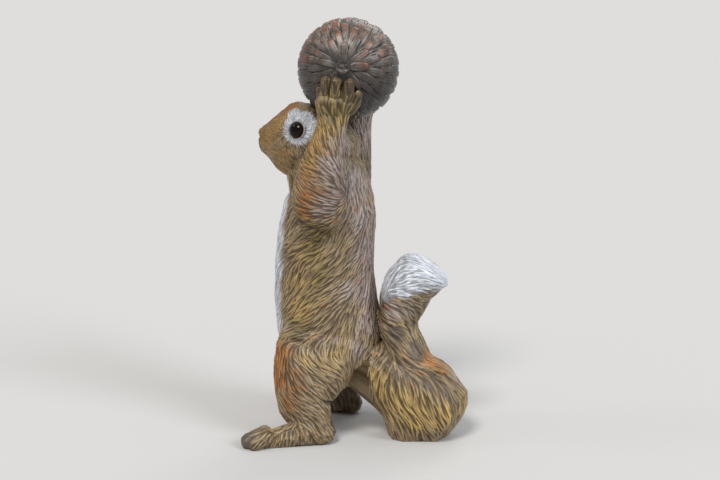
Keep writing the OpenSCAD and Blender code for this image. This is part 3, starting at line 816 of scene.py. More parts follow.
@dataclass
class FurPainter:
    """Lays the paints' strengths on the skin, lock by lock."""

    dabs: Sequence[Dab]
    # Paints with a crisp edge, and where their edge and the others' fade
    crisp: tuple[Paint, ...] = (Paint.WHITE, Paint.UMBER, Paint.SLATE)
    crisp_edge: Pair = (0.30, 0.50)
    soft_edge: Pair = (0.12, 0.85)
    # How far a lock takes one paint from end to end
    whole: float = 0.75

    def strengths(self, points: np.ndarray) -> dict[Paint, np.ndarray]:
        """How strong each paint is at some points.

        Args:
            points: Places on the skin.

        Returns:
            A strength from 0 to 1 a point, for each paint.
        """
        found = {paint: np.zeros(len(points)) for paint in Paint}
        for dab in self.dabs:
            for side in (1, -1):
                place = np.array(dab.place) * (1, side, 1)
                gap = ((points - place) ** 2).sum(1) / dab.radius**2
                found[dab.paint] = np.maximum(found[dab.paint], dab.strength * np.exp(-gap))
        return {
            paint: ramp(strength, *(self.crisp_edge if paint in self.crisp else self.soft_edge))
            for paint, strength in found.items()
        }

    def lay(self, carver: FurCarver, locks: dict[str, np.ndarray]) -> None:
        """Store the paints and the locks as attributes of the skin's mesh.

        Args:
            carver: The carver, after its work.
            locks: The locks' ways.
        """
        skin = carver.skin
        here = self.strengths(skin.points)
        there = self.strengths(locks["places"][:, carver.samples // 2])
        cut = carver.winner >= 0
        lock = np.maximum(carver.winner, 0)
        rows = {name: np.zeros((len(skin.points), 4)) for name in ("warm", "cool", "lock")}
        for paint in Paint:
            name, channel = paint.value
            mixed = self.whole * there[paint][lock] + (1 - self.whole) * here[paint]
            rows[name][:, channel] = np.where(cut, mixed, here[paint])
        rows["lock"][:, 0] = np.where(cut, carver.height, 0.0)
        rows["lock"][:, 1] = np.where(cut, carver.along, 0.5)
        rows["lock"][:, 2] = np.where(cut, carver.choice[lock], 0.5)
        rows["lock"][:, 3] = carver.furred
        for name, values in rows.items():
            attribute = skin.piece.data.attributes.new(name, "FLOAT_COLOR", "POINT")
            attribute.data.foreach_set("color", values.astype(np.float32).ravel())


# ---- Finishes ----------------------------------------------------------------------


def pigment(code: str) -> tuple[float, float, float, float]:
    """Turn a six-digit paint code into the linear colour that Blender takes.

    Args:
        code: Red, green and blue as two hexadecimal digits each.

    Returns:
        The linear colour, opaque.
    """
    parts = [int(code[place : place + 2], 16) / 255 for place in (0, 2, 4)]
    linear = [part / 12.92 if part <= 0.04045 else ((part + 0.055) / 1.055) ** 2.4 for part in parts]
    return (linear[0], linear[1], linear[2], 1.0)


class NodeSheet:
    """One material's nodes, added and joined from right to left."""

    # How far apart the nodes lie on the sheet
    GAP = 40

    def __init__(self, name: str) -> None:
        """Start a material with its shader."""
        self.material = bpy.data.materials.new(name)
        self.material.use_nodes = True
        self.tree = self.material.node_tree
        self.shader = self.tree.nodes["Principled BSDF"]
        self.column = -5 * self.GAP

    def add(self, kind: str, **settings: object) -> bpy.types.Node:
        """Add a node and give it its settings."""
        node = self.tree.nodes.new(kind)
        node.location = (self.column, 0)
        self.column -= self.GAP
        for name, value in settings.items():
            setattr(node, name, value)
        return node

    def feed(self, value: object, socket: Socket) -> None:
        """Join a socket to another, or set its value."""
        if isinstance(value, Socket):
            self.tree.links.new(value, socket)
        else:
            socket.default_value = value

    def where(self) -> Socket:
        """Object coordinates."""
        return self.add("ShaderNodeTexCoord").outputs["Object"]

    def channels(self, name: str) -> tuple[Socket, ...]:
        """Red, green, blue and alpha of one of the piece's attributes."""
        source = self.add("ShaderNodeAttribute", attribute_name=name)
        split = self.add("ShaderNodeSeparateColor")
        self.tree.links.new(source.outputs["Color"], split.inputs[0])
        return (*split.outputs[:3], source.outputs["Alpha"])

    def math(self, operation: str, first: object, second: object = 0.0) -> Socket:
        """Arithmetic on two values, kept between 0 and 1."""
        node = self.add("ShaderNodeMath", operation=operation, use_clamp=True)
        self.feed(first, node.inputs[0])
        self.feed(second, node.inputs[1])
        return node.outputs[0]

    def times(self, first: object, *others: object) -> Socket:
        """Two values or more multiplied."""
        for other in others:
            first = self.math("MULTIPLY", first, other)
        return first

    def most(self, first: object, *others: object) -> Socket:
        """The highest of two values or more."""
        for other in others:
            first = self.math("MAXIMUM", first, other)
        return first

    def spread(
        self, value: object, low: float, high: float, start: float = 0.0, end: float = 1.0
    ) -> Socket:
        """A smooth step of a value from low to high, given as start to end."""
        node = self.add("ShaderNodeMapRange", interpolation_type="SMOOTHSTEP")
        self.feed(value, node.inputs["Value"])
        for name, number in (("From Min", low), ("From Max", high), ("To Min", start), ("To Max", end)):
            node.inputs[name].default_value = number
        return node.outputs[0]

    def blend(self, factor: object, under: object, over: object, mode: str = "MIX") -> Socket:
        """One colour laid over another."""
        node = self.add("ShaderNodeMix", data_type="RGBA", blend_type=mode)
        self.feed(factor, node.inputs[0])
        self.feed(under, node.inputs[6])
        self.feed(over, node.inputs[7])
        return node.outputs[2]

    def choose(self, factor: object, stops: Sequence[Stop], mode: str = "LINEAR") -> Socket:
        """A colour ramp of paint codes."""
        node = self.add("ShaderNodeValToRGB")
        node.color_ramp.interpolation = mode
        for index, (place, code) in enumerate(stops):
            elements = node.color_ramp.elements
            stop = elements[index] if index < 2 else elements.new(place)
            stop.position = place
            stop.color = pigment(code)
        self.feed(factor, node.inputs[0])
        return node.outputs[0]

    def vector(self, operation: str, first: object, second: object) -> bpy.types.NodeOutputs:
        """Arithmetic on two vectors."""
        node = self.add("ShaderNodeVectorMath", operation=operation)
        self.feed(first, node.inputs[0])
        self.feed(second, node.inputs[1])
        return node.outputs

    def parts(self, vector: object) -> bpy.types.NodeOutputs:
        """X, Y and Z of a vector."""
        node = self.add("ShaderNodeSeparateXYZ")
        self.feed(vector, node.inputs[0])
        return node.outputs

    def noise(self, place: object, scale: float, detail: float = 2.0) -> Socket:
        """Noise from 0 to 1."""
        node = self.add("ShaderNodeTexNoise")
        self.feed(place, node.inputs["Vector"])
        node.inputs["Scale"].default_value = scale
        node.inputs["Detail"].default_value = detail
        return node.outputs[0]

    def bump(self, height: object, strength: float, distance: float) -> None:
        """Relief too fine to model, in metres."""
        node = self.add("ShaderNodeBump")
        node.inputs["Strength"].default_value = strength
        node.inputs["Distance"].default_value = distance
        self.feed(height, node.inputs["Height"])
        self.tree.links.new(node.outputs[0], self.shader.inputs["Normal"])

    def finish(self, **sockets: object) -> Material:
        """Set the shader's own sockets, named with underscores.

        Args:
            sockets: Values or sockets by the shader's socket names.

        Returns:
            The material.
        """
        for name, value in sockets.items():
            self.feed(value, self.shader.inputs[name.replace("_", " ")])
        return self.material


@dataclass(frozen=True)
class Tint:
    """One paint as it dries: the colour in the hollows of a lock's flank and those its ridges may take."""

    ground: str
    ridges: tuple[Stop, ...]


@dataclass(frozen=True)
class FurPaint:
    """The painted and dry-brushed resin of the fur."""

    plain: Tint = Tint(
        "68563f", ((0.0, "8a785c"), (0.3, "9c8969"), (0.6, "836e52"), (0.84, "ad945e"), (0.94, "ad7a46"))
    )
    tints: tuple[tuple[Paint, Tint], ...] = (
        (Paint.ROSE, Tint("7c6c63", ((0, "9a8a81"), (0.4, "aa9c93"), (0.65, "8e7d74"), (0.93, "b0674c")))),
        (Paint.FAWN, Tint("755a2d", ((0, "987847"), (0.35, "aa8952"), (0.6, "886938"), (0.85, "ae7c44")))),
        (Paint.OCHRE, Tint("735e37", ((0, "a68a59"), (0.4, "ba9a60"), (0.7, "947a4a"), (0.86, "cca95e")))),
        (Paint.OLIVE, Tint("514225", ((0, "786739"), (0.5, "8c7a44"), (0.75, "66552f"), (0.93, "a48c46")))),
        (Paint.RUST, Tint("704a21", ((0, "986633"), (0.4, "ab7844"), (0.65, "8a5a29"), (0.85, "b6622a")))),
        (Paint.WHITE, Tint("9c9da1", ((0, "d3d5da"), (0.5, "c3c5ca"), (0.8, "b0b1b5")))),
        (Paint.SLATE, Tint("594d40", ((0, "6e6150"), (0.5, "645746")))),
        (Paint.UMBER, Tint("433626", ((0, "614e34"), (0.4, "7b6441"), (0.7, "564630")))),
    )
    groove: str = "2e2213"
    white_groove: str = "7b7a7d"
    wash: float = 0.56
    mottle_scale: float = 60.0
    grain_scale: float = 1400.0
    roughness: float = 0.42
    claw_roughness: float = 0.30

    def material(self) -> Material:
        """Build the fur's nodes."""
        sheet = NodeSheet("fur_paint")
        channels = {"warm": sheet.channels("warm"), "cool": sheet.channels("cool")}
        strengths = {paint: channels[paint.value[0]][paint.value[1]] for paint in Paint}
        height, along, choice, furred = sheet.channels("lock")
        place = sheet.where()
        mottle = sheet.noise(place, self.mottle_scale, detail=3.0)
        grain = sheet.noise(place, self.grain_scale)
        ground = pigment(self.plain.ground)
        ridge = sheet.choose(choice, self.plain.ridges, "CONSTANT")
        for paint, tint in self.tints:
            ground = sheet.blend(strengths[paint], ground, pigment(tint.ground))
            ridge = sheet.blend(strengths[paint], ridge, sheet.choose(choice, tint.ridges, "CONSTANT"))
        brushed = sheet.times(
            sheet.spread(height, 0.30, 0.85),
            sheet.spread(along, 0.0, 0.6, 0.45, 1.0),
            sheet.spread(grain, 0.30, 0.55, 0.6, 1.0),
            sheet.spread(furred, 0.0, 1.0, 0.35, 0.95),
        )
        colour = sheet.blend(brushed, ground, ridge)
        shade = sheet.spread(mottle, 0.25, 0.75, 0.86, 1.10)
        tone = sheet.add("ShaderNodeCombineColor")
        for socket in tone.inputs[:3]:
            sheet.feed(shade, socket)
        colour = sheet.blend(1.0, colour, tone.outputs[0], "MULTIPLY")
        groove = sheet.blend(strengths[Paint.WHITE], pigment(self.groove), pigment(self.white_groove))
        wash = sheet.times(sheet.spread(height, 0.45, 0.05), furred, self.wash)
        colour = sheet.blend(wash, colour, groove)
        sheet.bump(grain, strength=0.2, distance=0.0002)
        rough = sheet.spread(strengths[Paint.UMBER], 0.2, 0.8, self.roughness, self.claw_roughness)
        return sheet.finish(Base_Color=colour, Roughness=rough, Specular_IOR_Level=0.4)


@dataclass(frozen=True)
class ConeVarnish:
    """Dark stained scales under a clear varnish, with rust rubbed on their ends, painted shade where they
    tuck under each other and a painted shadow under the cone.
    """

    stain: tuple[str, str, str] = ("463d34", "6a5e53", "918479")
    rust: tuple[str, str] = ("7c4726", "a95a27")
    # The dark between the scales, also the colour of the painted shade at their roots and sides, of the
    # painted shadow under the cone and of the darkened low streaks
    gap: str = "1a1713"
    # Shade over one half of a scale's width, from its edge to its middle
    ribs: tuple[Stop, ...] = (
        (0.0, "6a6a6a"),
        (0.13, "8c8c8c"),
        (0.25, "ffffff"),
        (0.37, "969696"),
        (0.5, "ffffff"),
    )
    rib_shade: float = 0.65
    mottle_scale: float = 200.0
    streak_scale: float = 2.0
    streak_stretch: Triple = (5.0, 0.7, 1.0)
    # Heights, in metres, between which the underside darkens, and how far
    shadow: Pair = (0.260, 0.220)
    shadow_strength: float = 0.92
    # How dark the painted shade at the scales' roots and sides is
    root_shade_strength: float = 0.75
    roughness: float = 0.38

    def material(self) -> Material:
        """Build the scales' nodes, which read each scale's own map and its share of rust."""
        sheet = NodeSheet("cone_varnish")
        share, chance, _, _ = sheet.channels("scale")
        own = sheet.add("ShaderNodeUVMap", uv_map="scale_map").outputs[0]
        across, along, _ = sheet.parts(own)
        mottle = sheet.noise(sheet.where(), self.mottle_scale, detail=3.0)
        stretch = sheet.add("ShaderNodeMapping")
        sheet.feed(own, stretch.inputs[0])
        stretch.inputs["Scale"].default_value = self.streak_stretch
        streak = sheet.noise(stretch.outputs[0], self.streak_scale, detail=3.0)
        gap = pigment(self.gap)
        colour = sheet.choose(mottle, tuple(zip((0.3, 0.5, 0.7), self.stain)))
        worn = sheet.times(sheet.math("SUBTRACT", mottle, 0.3), 0.7)
        end = sheet.spread(sheet.math("ADD", along, worn), 0.56, 0.80)
        edge = sheet.most(sheet.spread(across, 0.70, 0.92), sheet.spread(across, 0.30, 0.08))
        end = sheet.most(end, sheet.times(edge, sheet.spread(along, 0.35, 0.60, 0.0, 0.6)))
        end = sheet.times(end, sheet.times(share, 0.85), sheet.spread(streak, 0.30, 0.50))
        rust = sheet.blend(sheet.spread(chance, 0.3, 0.7), pigment(self.rust[0]), pigment(self.rust[1]))
        colour = sheet.blend(end, colour, rust)
        low = sheet.spread(sheet.parts(sheet.where())[2], *self.shadow)
        colour = sheet.blend(sheet.times(low, self.shadow_strength), colour, gap)
        bent = sheet.math("ADD", across, sheet.times(sheet.math("SUBTRACT", streak, 0.5), 0.2))
        other_half = tuple((1 - stop, code) for stop, code in self.ribs[-2::-1])
        shade = sheet.choose(bent, self.ribs + other_half)
        colour = sheet.blend(self.rib_shade, colour, shade, "MULTIPLY")
        valley = sheet.times(sheet.spread(streak, 0.46, 0.34), 0.6)
        colour = sheet.blend(valley, colour, gap)
        # Painted shade: each scale darkens towards its root and its long sides, where it tucks under its
        # neighbours.
        root = sheet.most(
            sheet.spread(along, 0.24, 0.04),
            sheet.spread(across, 0.90, 1.0),
            sheet.spread(across, 0.10, 0.0),
        )
        colour = sheet.blend(sheet.times(root, self.root_shade_strength), colour, gap)
        sheet.bump(streak, strength=0.45, distance=0.0004)
        return sheet.finish(
            Base_Color=colour,
            Roughness=self.roughness,
            Coat_Weight=0.2,
            Coat_Roughness=0.25,
            Specular_IOR_Level=0.45,
        )


@dataclass(frozen=True)
class CutWood:
    """The broken end of the cone's stalk."""

    def material(self) -> Material:
        """Build the stalk's nodes."""
        sheet = NodeSheet("cut_wood")
        grain = sheet.noise(sheet.where(), 700.0, detail=4.0)
        colour = sheet.choose(grain, ((0.35, "1c1815"), (0.5, "3b342f"), (0.7, "574e48")))
        sheet.bump(grain, strength=0.8, distance=0.0006)
        return sheet.finish(Base_Color=colour, Roughness=0.42, Coat_Weight=0.2, Coat_Roughness=0.3)


@dataclass(frozen=True)
class EyeGlass:
    """Polished black glass, a little brown towards its rim."""

    middle: str = "040303"
    iris: str = "2c100d"
    edge: str = "090505"
    # Shares of the radius where the brown starts and is full, and where the edge starts
    rim: Triple = (0.76, 0.86, 0.94)

    def material(self, place: Vector, axis: Vector, radius: float) -> Material:
        """Build one eye's nodes.

        Args:
            place: Middle of the eye, in metres.
            axis: The way it looks.
            radius: Its radius in metres.

        Returns:
            The material.
        """
        sheet = NodeSheet("eye_glass")
        offset = sheet.vector("SUBTRACT", sheet.where(), place)["Vector"]
        aside = sheet.vector("CROSS_PRODUCT", offset, axis)["Vector"]
        length = sheet.vector("LENGTH", aside, Vector())["Value"]
        start, full, outer = (share * radius for share in self.rim)
        brown = sheet.spread(length, start, full)
        colour = sheet.blend(brown, pigment(self.middle), pigment(self.iris))
        edge = sheet.spread(length, outer, radius)
        colour = sheet.blend(edge, colour, pigment(self.edge))
        return sheet.finish(Base_Color=colour, Roughness=0.03, Specular_IOR_Level=0.2)


@dataclass(frozen=True)
class DowelSteel:
    """Turned steel of the hidden dowels."""

    def material(self) -> Material:
        """Build the steel's nodes."""
        sheet = NodeSheet("dowel_steel")
        grain = sheet.noise(sheet.where(), 900.0, detail=3.0)
        colour = sheet.choose(grain, ((0.3, "8d8f92"), (0.7, "b4b6b8")))
        rough = sheet.spread(grain, 0.3, 0.7, 0.28, 0.45)
        return sheet.finish(Base_Color=colour, Roughness=rough, Metallic=1.0)


# ---- Sub-assemblies ----------------------------------------------------------------


class Region(Enum):
    """The pieces that the skin is parted into, each with the CAD node it stands for."""

    LEFT_LEG = ("left_leg", "body")
    RIGHT_LEG = ("right_leg", "body")
    BELLY = ("belly", "body")
    CHEST = ("chest", "body")
    HEAD = ("head", "body")
    LEFT_ARM = ("left_arm", "left_arm")
    RIGHT_ARM = ("right_arm", "right_arm")
    BRUSH = ("brush", "tail")
    PLUME = ("plume", "tail")


@dataclass
class Castings:
    """The body, arms and tail: joined, carved, painted and parted again."""

    nodes: dict[str, Piece]
    voxel: float = 0.40
    names: tuple[str, ...] = ("body", "left_arm", "right_arm", "tail")
    # Rounds of smoothing before the fur is cut
    smoothing: int = 12
    # Cuts across the body; the neck's is this high at neck_place and slopes with X
    neck_height: float = 172.0
    neck_place: float = -40.0
    neck_slope: float = 0.35
    waist_height: float = 118.0
    hip_height: float = 70.0
    # The arms lie outside armpit, which widens below the shoulder, and outside wrist higher up
    armpit: float = 22.0
    armpit_slope: float = 0.25
    shoulder_height: float = 165.0
    elbow_height: float = 136.0
    wrist: float = 24.0
    wrist_height: float = 176.0
    # The tail lies behind seam, which slopes below the haunches, and its plume over plume_height
    tail_place: float = 10.0
    tail_top: float = 125.0
    seam: float = 12.0
    seam_slope: float = 0.25
    haunch_height: float = 70.0
    plume_height: float = 62.0

    def joined(self) -> Piece:
        """Join copies of the castings into one closed form, without the hollows inside it."""
        copies = []
        for name in self.names:
            copy = twin(self.nodes[name])
            copy.parent = None
            copy.data.materials.clear()
            pick_up(copy)
            with editing("SELECT"):
                bpy.ops.mesh.remove_doubles(threshold=TINY)
            copies.append(copy)
        pick_up(*copies)
        bpy.ops.object.join()
        form = added("castings")
        for key in list(form.keys()):
            del form[key]
        remesh = form.modifiers.new("skin", "REMESH")
        remesh.mode = "VOXEL"
        remesh.voxel_size = self.voxel * MM
        bpy.ops.object.modifier_apply(modifier=remesh.name)
        with editing("DESELECT"):
            edit = bmesh.from_edit_mesh(form.data)
            hindmost = max(edit.verts, key=lambda vertex: vertex.co.x)
            hindmost.select = True
            edit.select_flush(True)
            bmesh.update_edit_mesh(form.data)
            bpy.ops.mesh.select_linked()
            bpy.ops.mesh.select_all(action="INVERT")
            bpy.ops.mesh.delete(type="VERT")
        return form

    def press(self, skin: Skin) -> None:
        """Press the creases into the form.

        Args:
            skin: The joined form.
        """
        normals = skin.normals()
        tree = skin.tree()
        for crease in CREASES:
            for side in (1, -1):
                path = np.array(crease.path, float) * (1, side, 1)
                path = np.array([tuple(tree.find_nearest(Vector(spot))[0]) for spot in path])
                best = np.full(len(skin.points), np.inf)
                for start, end in zip(path[:-1], path[1:]):
                    way = end - start
                    share = np.clip((skin.points - start) @ way / (way @ way + TINY), 0, 1)
                    gap = ((skin.points - start - share[:, None] * way) ** 2).sum(1)
                    best = np.minimum(best, gap)
                push = crease.depth * np.exp(-best / crease.width**2)
                skin.points -= normals * push[:, None]

    def part(self, form: Piece) -> list[Piece]:
        """Part the painted form into pieces along the castings and across the body.

        Args:
            form: The painted form.

        Returns:
            The pieces, each closed, in the order of the regions.
        """
        pieces = []
        for number, region in enumerate(list(Region)[1:], 1):
            centres = np.empty(len(form.data.polygons) * 3, np.float32)
            form.data.polygons.foreach_get("center", centres)
            pick_up(form)
            form.data.polygons.foreach_set("select", self.labels(centres.reshape(-1, 3)) == number)
            bpy.ops.object.mode_set(mode="EDIT")
            bpy.ops.mesh.separate(type="SELECTED")
            bpy.ops.object.mode_set(mode="OBJECT")
            cut = next(piece for piece in bpy.context.selected_objects if piece is not form)
            cut.name = f"{region.name.lower()}_fur"
            pieces.append(cut)
        form.name = f"{Region.LEFT_LEG.name.lower()}_fur"
        pieces.insert(0, form)
        for piece in pieces:
            self.close(piece)
        return pieces

    def labels(self, centres: np.ndarray) -> np.ndarray:
        """Say which region each face belongs to.

        Args:
            centres: The faces' middles, in metres.

        Returns:
            The regions' numbers, in their order.
        """
        x, y, z = centres.T / MM
        number = {region: place for place, region in enumerate(Region)}
        neck = self.neck_height + self.neck_slope * (x - self.neck_place)
        label = np.select(
            [z > neck, z > self.waist_height, z > self.hip_height, y > 0],
            [number[Region.HEAD], number[Region.CHEST], number[Region.BELLY], number[Region.RIGHT_LEG]],
            number[Region.LEFT_LEG],
        )
        armpit = self.armpit + self.armpit_slope * np.clip(self.shoulder_height - z, 0, 100)
        arm = (np.abs(y) > armpit) & (z > self.elbow_height)
        arm |= (np.abs(y) > self.wrist) & (z > self.wrist_height)
        label[arm & (y < 0)] = number[Region.LEFT_ARM]
        label[arm & (y > 0)] = number[Region.RIGHT_ARM]
        top = self.haunch_height
        seam = self.seam - self.seam_slope * (top - np.clip(z, 0, top))
        tail = (x > self.tail_place) & (z < self.tail_top) & (x > seam)
        label[tail & (z <= self.plume_height)] = number[Region.BRUSH]
        label[tail & (z > self.plume_height)] = number[Region.PLUME]
        return label

    def close(self, piece: Piece) -> None:
        """Close a piece's open rims, out of sight, with the rims marked sharp so that the caps don't bend its
        shading.

        Args:
            piece: One of the parted pieces.
        """
        pick_up(piece)
        with editing("DESELECT"):
            bpy.ops.mesh.select_mode(type="EDGE")
            bpy.ops.mesh.select_non_manifold(extend=False, use_wire=False, use_multi_face=False)
            bpy.ops.mesh.mark_sharp()
            bpy.ops.mesh.select_all(action="SELECT")
            bpy.ops.mesh.fill_holes(sides=0)
        bpy.ops.object.shade_smooth()

    def build(self, coat: Material) -> list[Piece]:
        """Make and dress the castings.

        Args:
            coat: The fur's material.

        Returns:
            The finished pieces.
        """
        rng = np.random.default_rng(SEED)
        low, high = (np.array(corner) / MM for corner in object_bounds())
        form = self.joined()
        skin = Skin(form)
        log.info("skin of %d points", len(skin.points))
        skin.relax(self.smoothing)
        self.press(skin)
        skin.write()
        tree = skin.tree()
        carver = FurCarver(skin, CombedFlow(STROKES, tree), tree)
        locks = carver.carve(rng)
        skin.points = np.clip(skin.points, low, high)
        skin.write()
        FurPainter(DABS).lay(carver, locks)
        form.data.materials.append(coat)
        pieces = self.part(form)
        for region, piece in zip(Region, pieces):
            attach(piece, "root")
            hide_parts(region.value[1])
            log.info("%s: %d faces", piece.name, len(piece.data.polygons))
        return pieces


@dataclass
class PineCone:
    """The closed cone: its core, its scales laid by the golden angle, and its broken stalk."""

    # The cone's middle, its turn and rise in degrees, its radius over the scales and its half lengths
    centre: Triple = (-9.65, 0.0, 237.5)
    yaw: float = 10.0
    rise: float = 5.0
    radius: float = 32.5
    stalk_end: float = 33.0
    tip_end: float = 39.0
    # Height of the scales' ends over the core, and how blunt the outline is at the stalk and the tip
    lift: float = 2.2
    stalk_power: float = 2.2
    tip_power: float = 1.7
    scales: int = 320
    scale_length: float = 20.0
    scale_width: float = 6.6
    root_lift: float = 0.1
    core_lift: float = 0.3
    # Share of a scale's length before its place, and where along it a lean starts to count
    root_share: float = 0.42
    lean_pivot: float = 0.4
    # The widest a scale may be, as a share of the radius there, and the least radius and angle it meets
    widest: float = 0.62
    least_radius: float = 0.5
    least_angle: float = 2.0
    # Chance in each scale's turn, size and lean, in its rust, and how much more lies above and in front
    turn_range: Pair = (-4.0, 4.0)
    size_range: Pair = (0.78, 1.18)
    lean_range: Pair = (-0.35, 0.35)
    rust_range: Pair = (0.0, 1.6)
    rust_middle: float = 0.55
    rust_rise: float = 0.026
    rust_front: float = 0.8
    # The stalk: its bark's rim and height, its lip, the sunken end, three pits and two sets of knobs
    stalk_sides: int = 28
    stalk_radius: float = 4.4
    stalk_depth: float = 9.0
    stalk_overlap: float = 3.0
    bark: float = 0.45
    bark_height: float = 0.35
    lip: float = 0.55
    sunk: float = 0.9
    pith_rings: int = 4
    pith_ring: float = 0.7
    pits: int = 3
    pit_place: float = 1.7
    pit_turn: float = 25.0
    pit_depth: float = 1.1
    knobs: tuple[tuple[float, int], ...] = ((0.05, 5), (0.03, 9))
    # A scale's half cross-section: each row's place aside and its drop
    across: tuple[Pair, ...] = ((0.0, 0.0), (0.26, -0.2), (0.5, -0.04), (0.76, -0.3), (1.0, -0.8))
    droop: float = 0.04
    # A scale from root to end: each row's place, half width and height
    along: tuple[Triple, ...] = (
        (0.0, 0.55, 0.0),
        (0.30, 0.80, 0.34),
        (0.60, 0.98, 0.68),
        (0.84, 0.94, 0.92),
        (0.96, 0.68, 1.0),
        (1.0, 0.42, 0.3),
    )

    def stand(self) -> Matrix:
        """The cone's place, its own +Z running from stalk to tip."""
        turn = Matrix.Rotation(math.radians(self.yaw), 4, "Z")
        turn = turn @ Matrix.Rotation(math.radians(-90 - self.rise), 4, "X")
        return Matrix.Translation(Vector(self.centre)) @ turn

    def profile(self, angle: float, lift: float) -> tuple[float, float]:
        """Radius and height of the cone's outline.

        Args:
            angle: Degrees from the stalk end.
            lift: Height over the core.

        Returns:
            The radius and the place along the axis.
        """
        tip = angle > 90
        end = (self.tip_end if tip else self.stalk_end) - self.lift + lift
        power = 2 / (self.tip_power if tip else self.stalk_power)
        turn = math.radians(angle)
        across = (self.radius - self.lift + lift) * max(math.sin(turn), 0.0) ** power
        return across, (end if tip else -end) * abs(math.cos(turn)) ** power

    def scale_form(self) -> Piece:
        """Model one scale flat: X across from -1 to 1, Y from root to end, Z up from the core."""
        rows, columns = len(self.along) - 1, len(self.across) - 1
        bpy.ops.mesh.primitive_grid_add(x_subdivisions=2 * columns, y_subdivisions=rows, size=2)
        scale = added("cone_scale")
        scale.data.uv_layers[0].name = "scale_map"
        for vertex in scale.data.vertices:
            aside, drop = self.across[round(abs(vertex.co.x) * columns)]
            place, outline, rise = self.along[round((vertex.co.y + 1) / 2 * rows)]
            vertex.co.x = math.copysign(aside * outline, vertex.co.x)
            vertex.co.y = place - self.droop * aside * aside * place
            vertex.co.z = rise + drop
        with editing("SELECT"):
            bpy.ops.mesh.select_mode(type="EDGE")
            bpy.ops.mesh.region_to_loop()
            bpy.ops.mesh.edge_face_add()
            bpy.ops.mesh.select_all(action="SELECT")
            bpy.ops.mesh.normals_make_consistent(inside=False)
        return scale

    def spot(self, stand: Matrix, radius: float, swing: float, height: float) -> Vector:
        """A place round the cone's axis, in metres."""
        return stand @ Vector((radius * math.cos(swing), radius * math.sin(swing), height)) * MM

    def lay_scale(self, scale: Piece, angle: float, turn: float, size: float, lean: float) -> None:
        """Bend a copy of the flat scale onto the cone.

        Args:
            scale: The copy.
            angle: Degrees of its middle from the stalk end.
            turn: Degrees round the axis.
            size: Its share of the usual size.
            lean: How far its end swings aside, as a share of its width.
        """
        stand = self.stand()
        arc = math.degrees(size * self.scale_length / self.radius)
        start = angle - self.root_share * arc
        for vertex in scale.data.vertices:
            across, along, up = vertex.co
            here = min(max(start + along * arc, self.least_angle), 180 - self.least_angle)
            lift = self.root_lift + (self.lift - self.root_lift) * up
            radius, height = self.profile(here, min(lift, self.lift))
            reach = min(0.5 * size * self.scale_width, self.widest * radius)
            aside = (across + lean * (along - self.lean_pivot)) * reach
            swing = math.radians(turn) + aside / max(radius, self.least_radius)
            vertex.co = self.spot(stand, radius, swing, height)

    def build_scales(self, varnish: Material) -> Piece:
        """Copy and lay all the scales.

        Args:
            varnish: The scales' material.

        Returns:
            The scales as one piece.
        """
        rng = np.random.default_rng(SEED + 1)
        pattern = self.scale_form()
        pattern.data.materials.append(varnish)
        golden = 180 * (3 - math.sqrt(5))
        copies = []
        for number in range(self.scales):
            angle = math.degrees(math.acos(1 - 2 * (number + 0.5) / self.scales))
            copy = twin(pattern)
            turn = number * golden + rng.uniform(*self.turn_range)
            size, lean = rng.uniform(*self.size_range), rng.uniform(*self.lean_range)
            self.lay_scale(copy, angle, turn, size, lean)
            aspect = Vector(copy.data.vertices[0].co) / MM - Vector(self.centre)
            rust = self.rust_middle + self.rust_rise * (aspect.z - self.rust_front * aspect.x)
            rust = min(1.0, max(0.1, rust)) * rng.uniform(*self.rust_range)
            shade = copy.data.attributes.new("scale", "FLOAT_COLOR", "POINT")
            shade.data.foreach_set("color", [rust, rng.uniform(), 0.0, 1.0] * len(copy.data.vertices))
            copies.append(copy)
        deselect()
        bpy.data.objects.remove(pattern)
        pick_up(*copies)
        bpy.ops.object.join()
        piece = added("cone_scales")
        with editing("SELECT"):
            bpy.ops.mesh.normals_make_consistent(inside=False)
        bpy.ops.object.shade_smooth_by_angle(angle=math.radians(75))
        return piece

    def build_core(self, varnish: Material) -> Piece:
        """Shape the core under the scales from a sphere.

        Args:
            varnish: The scales' material.

        Returns:
            The core.
        """
        core = unit_ball("cone_core")
        stand = self.stand()
        for vertex in core.data.vertices:
            angle = math.degrees(math.acos(max(-1, min(1, -vertex.co.z))))
            radius, height = self.profile(min(max(angle, 0.0), 180.0), self.core_lift)
            vertex.co = self.spot(stand, radius, math.atan2(vertex.co.y, vertex.co.x), height)
        core.data.uv_layers[0].name = "scale_map"
        core.data.materials.append(varnish)
        pick_up(core)
        bpy.ops.object.shade_smooth()
        return core

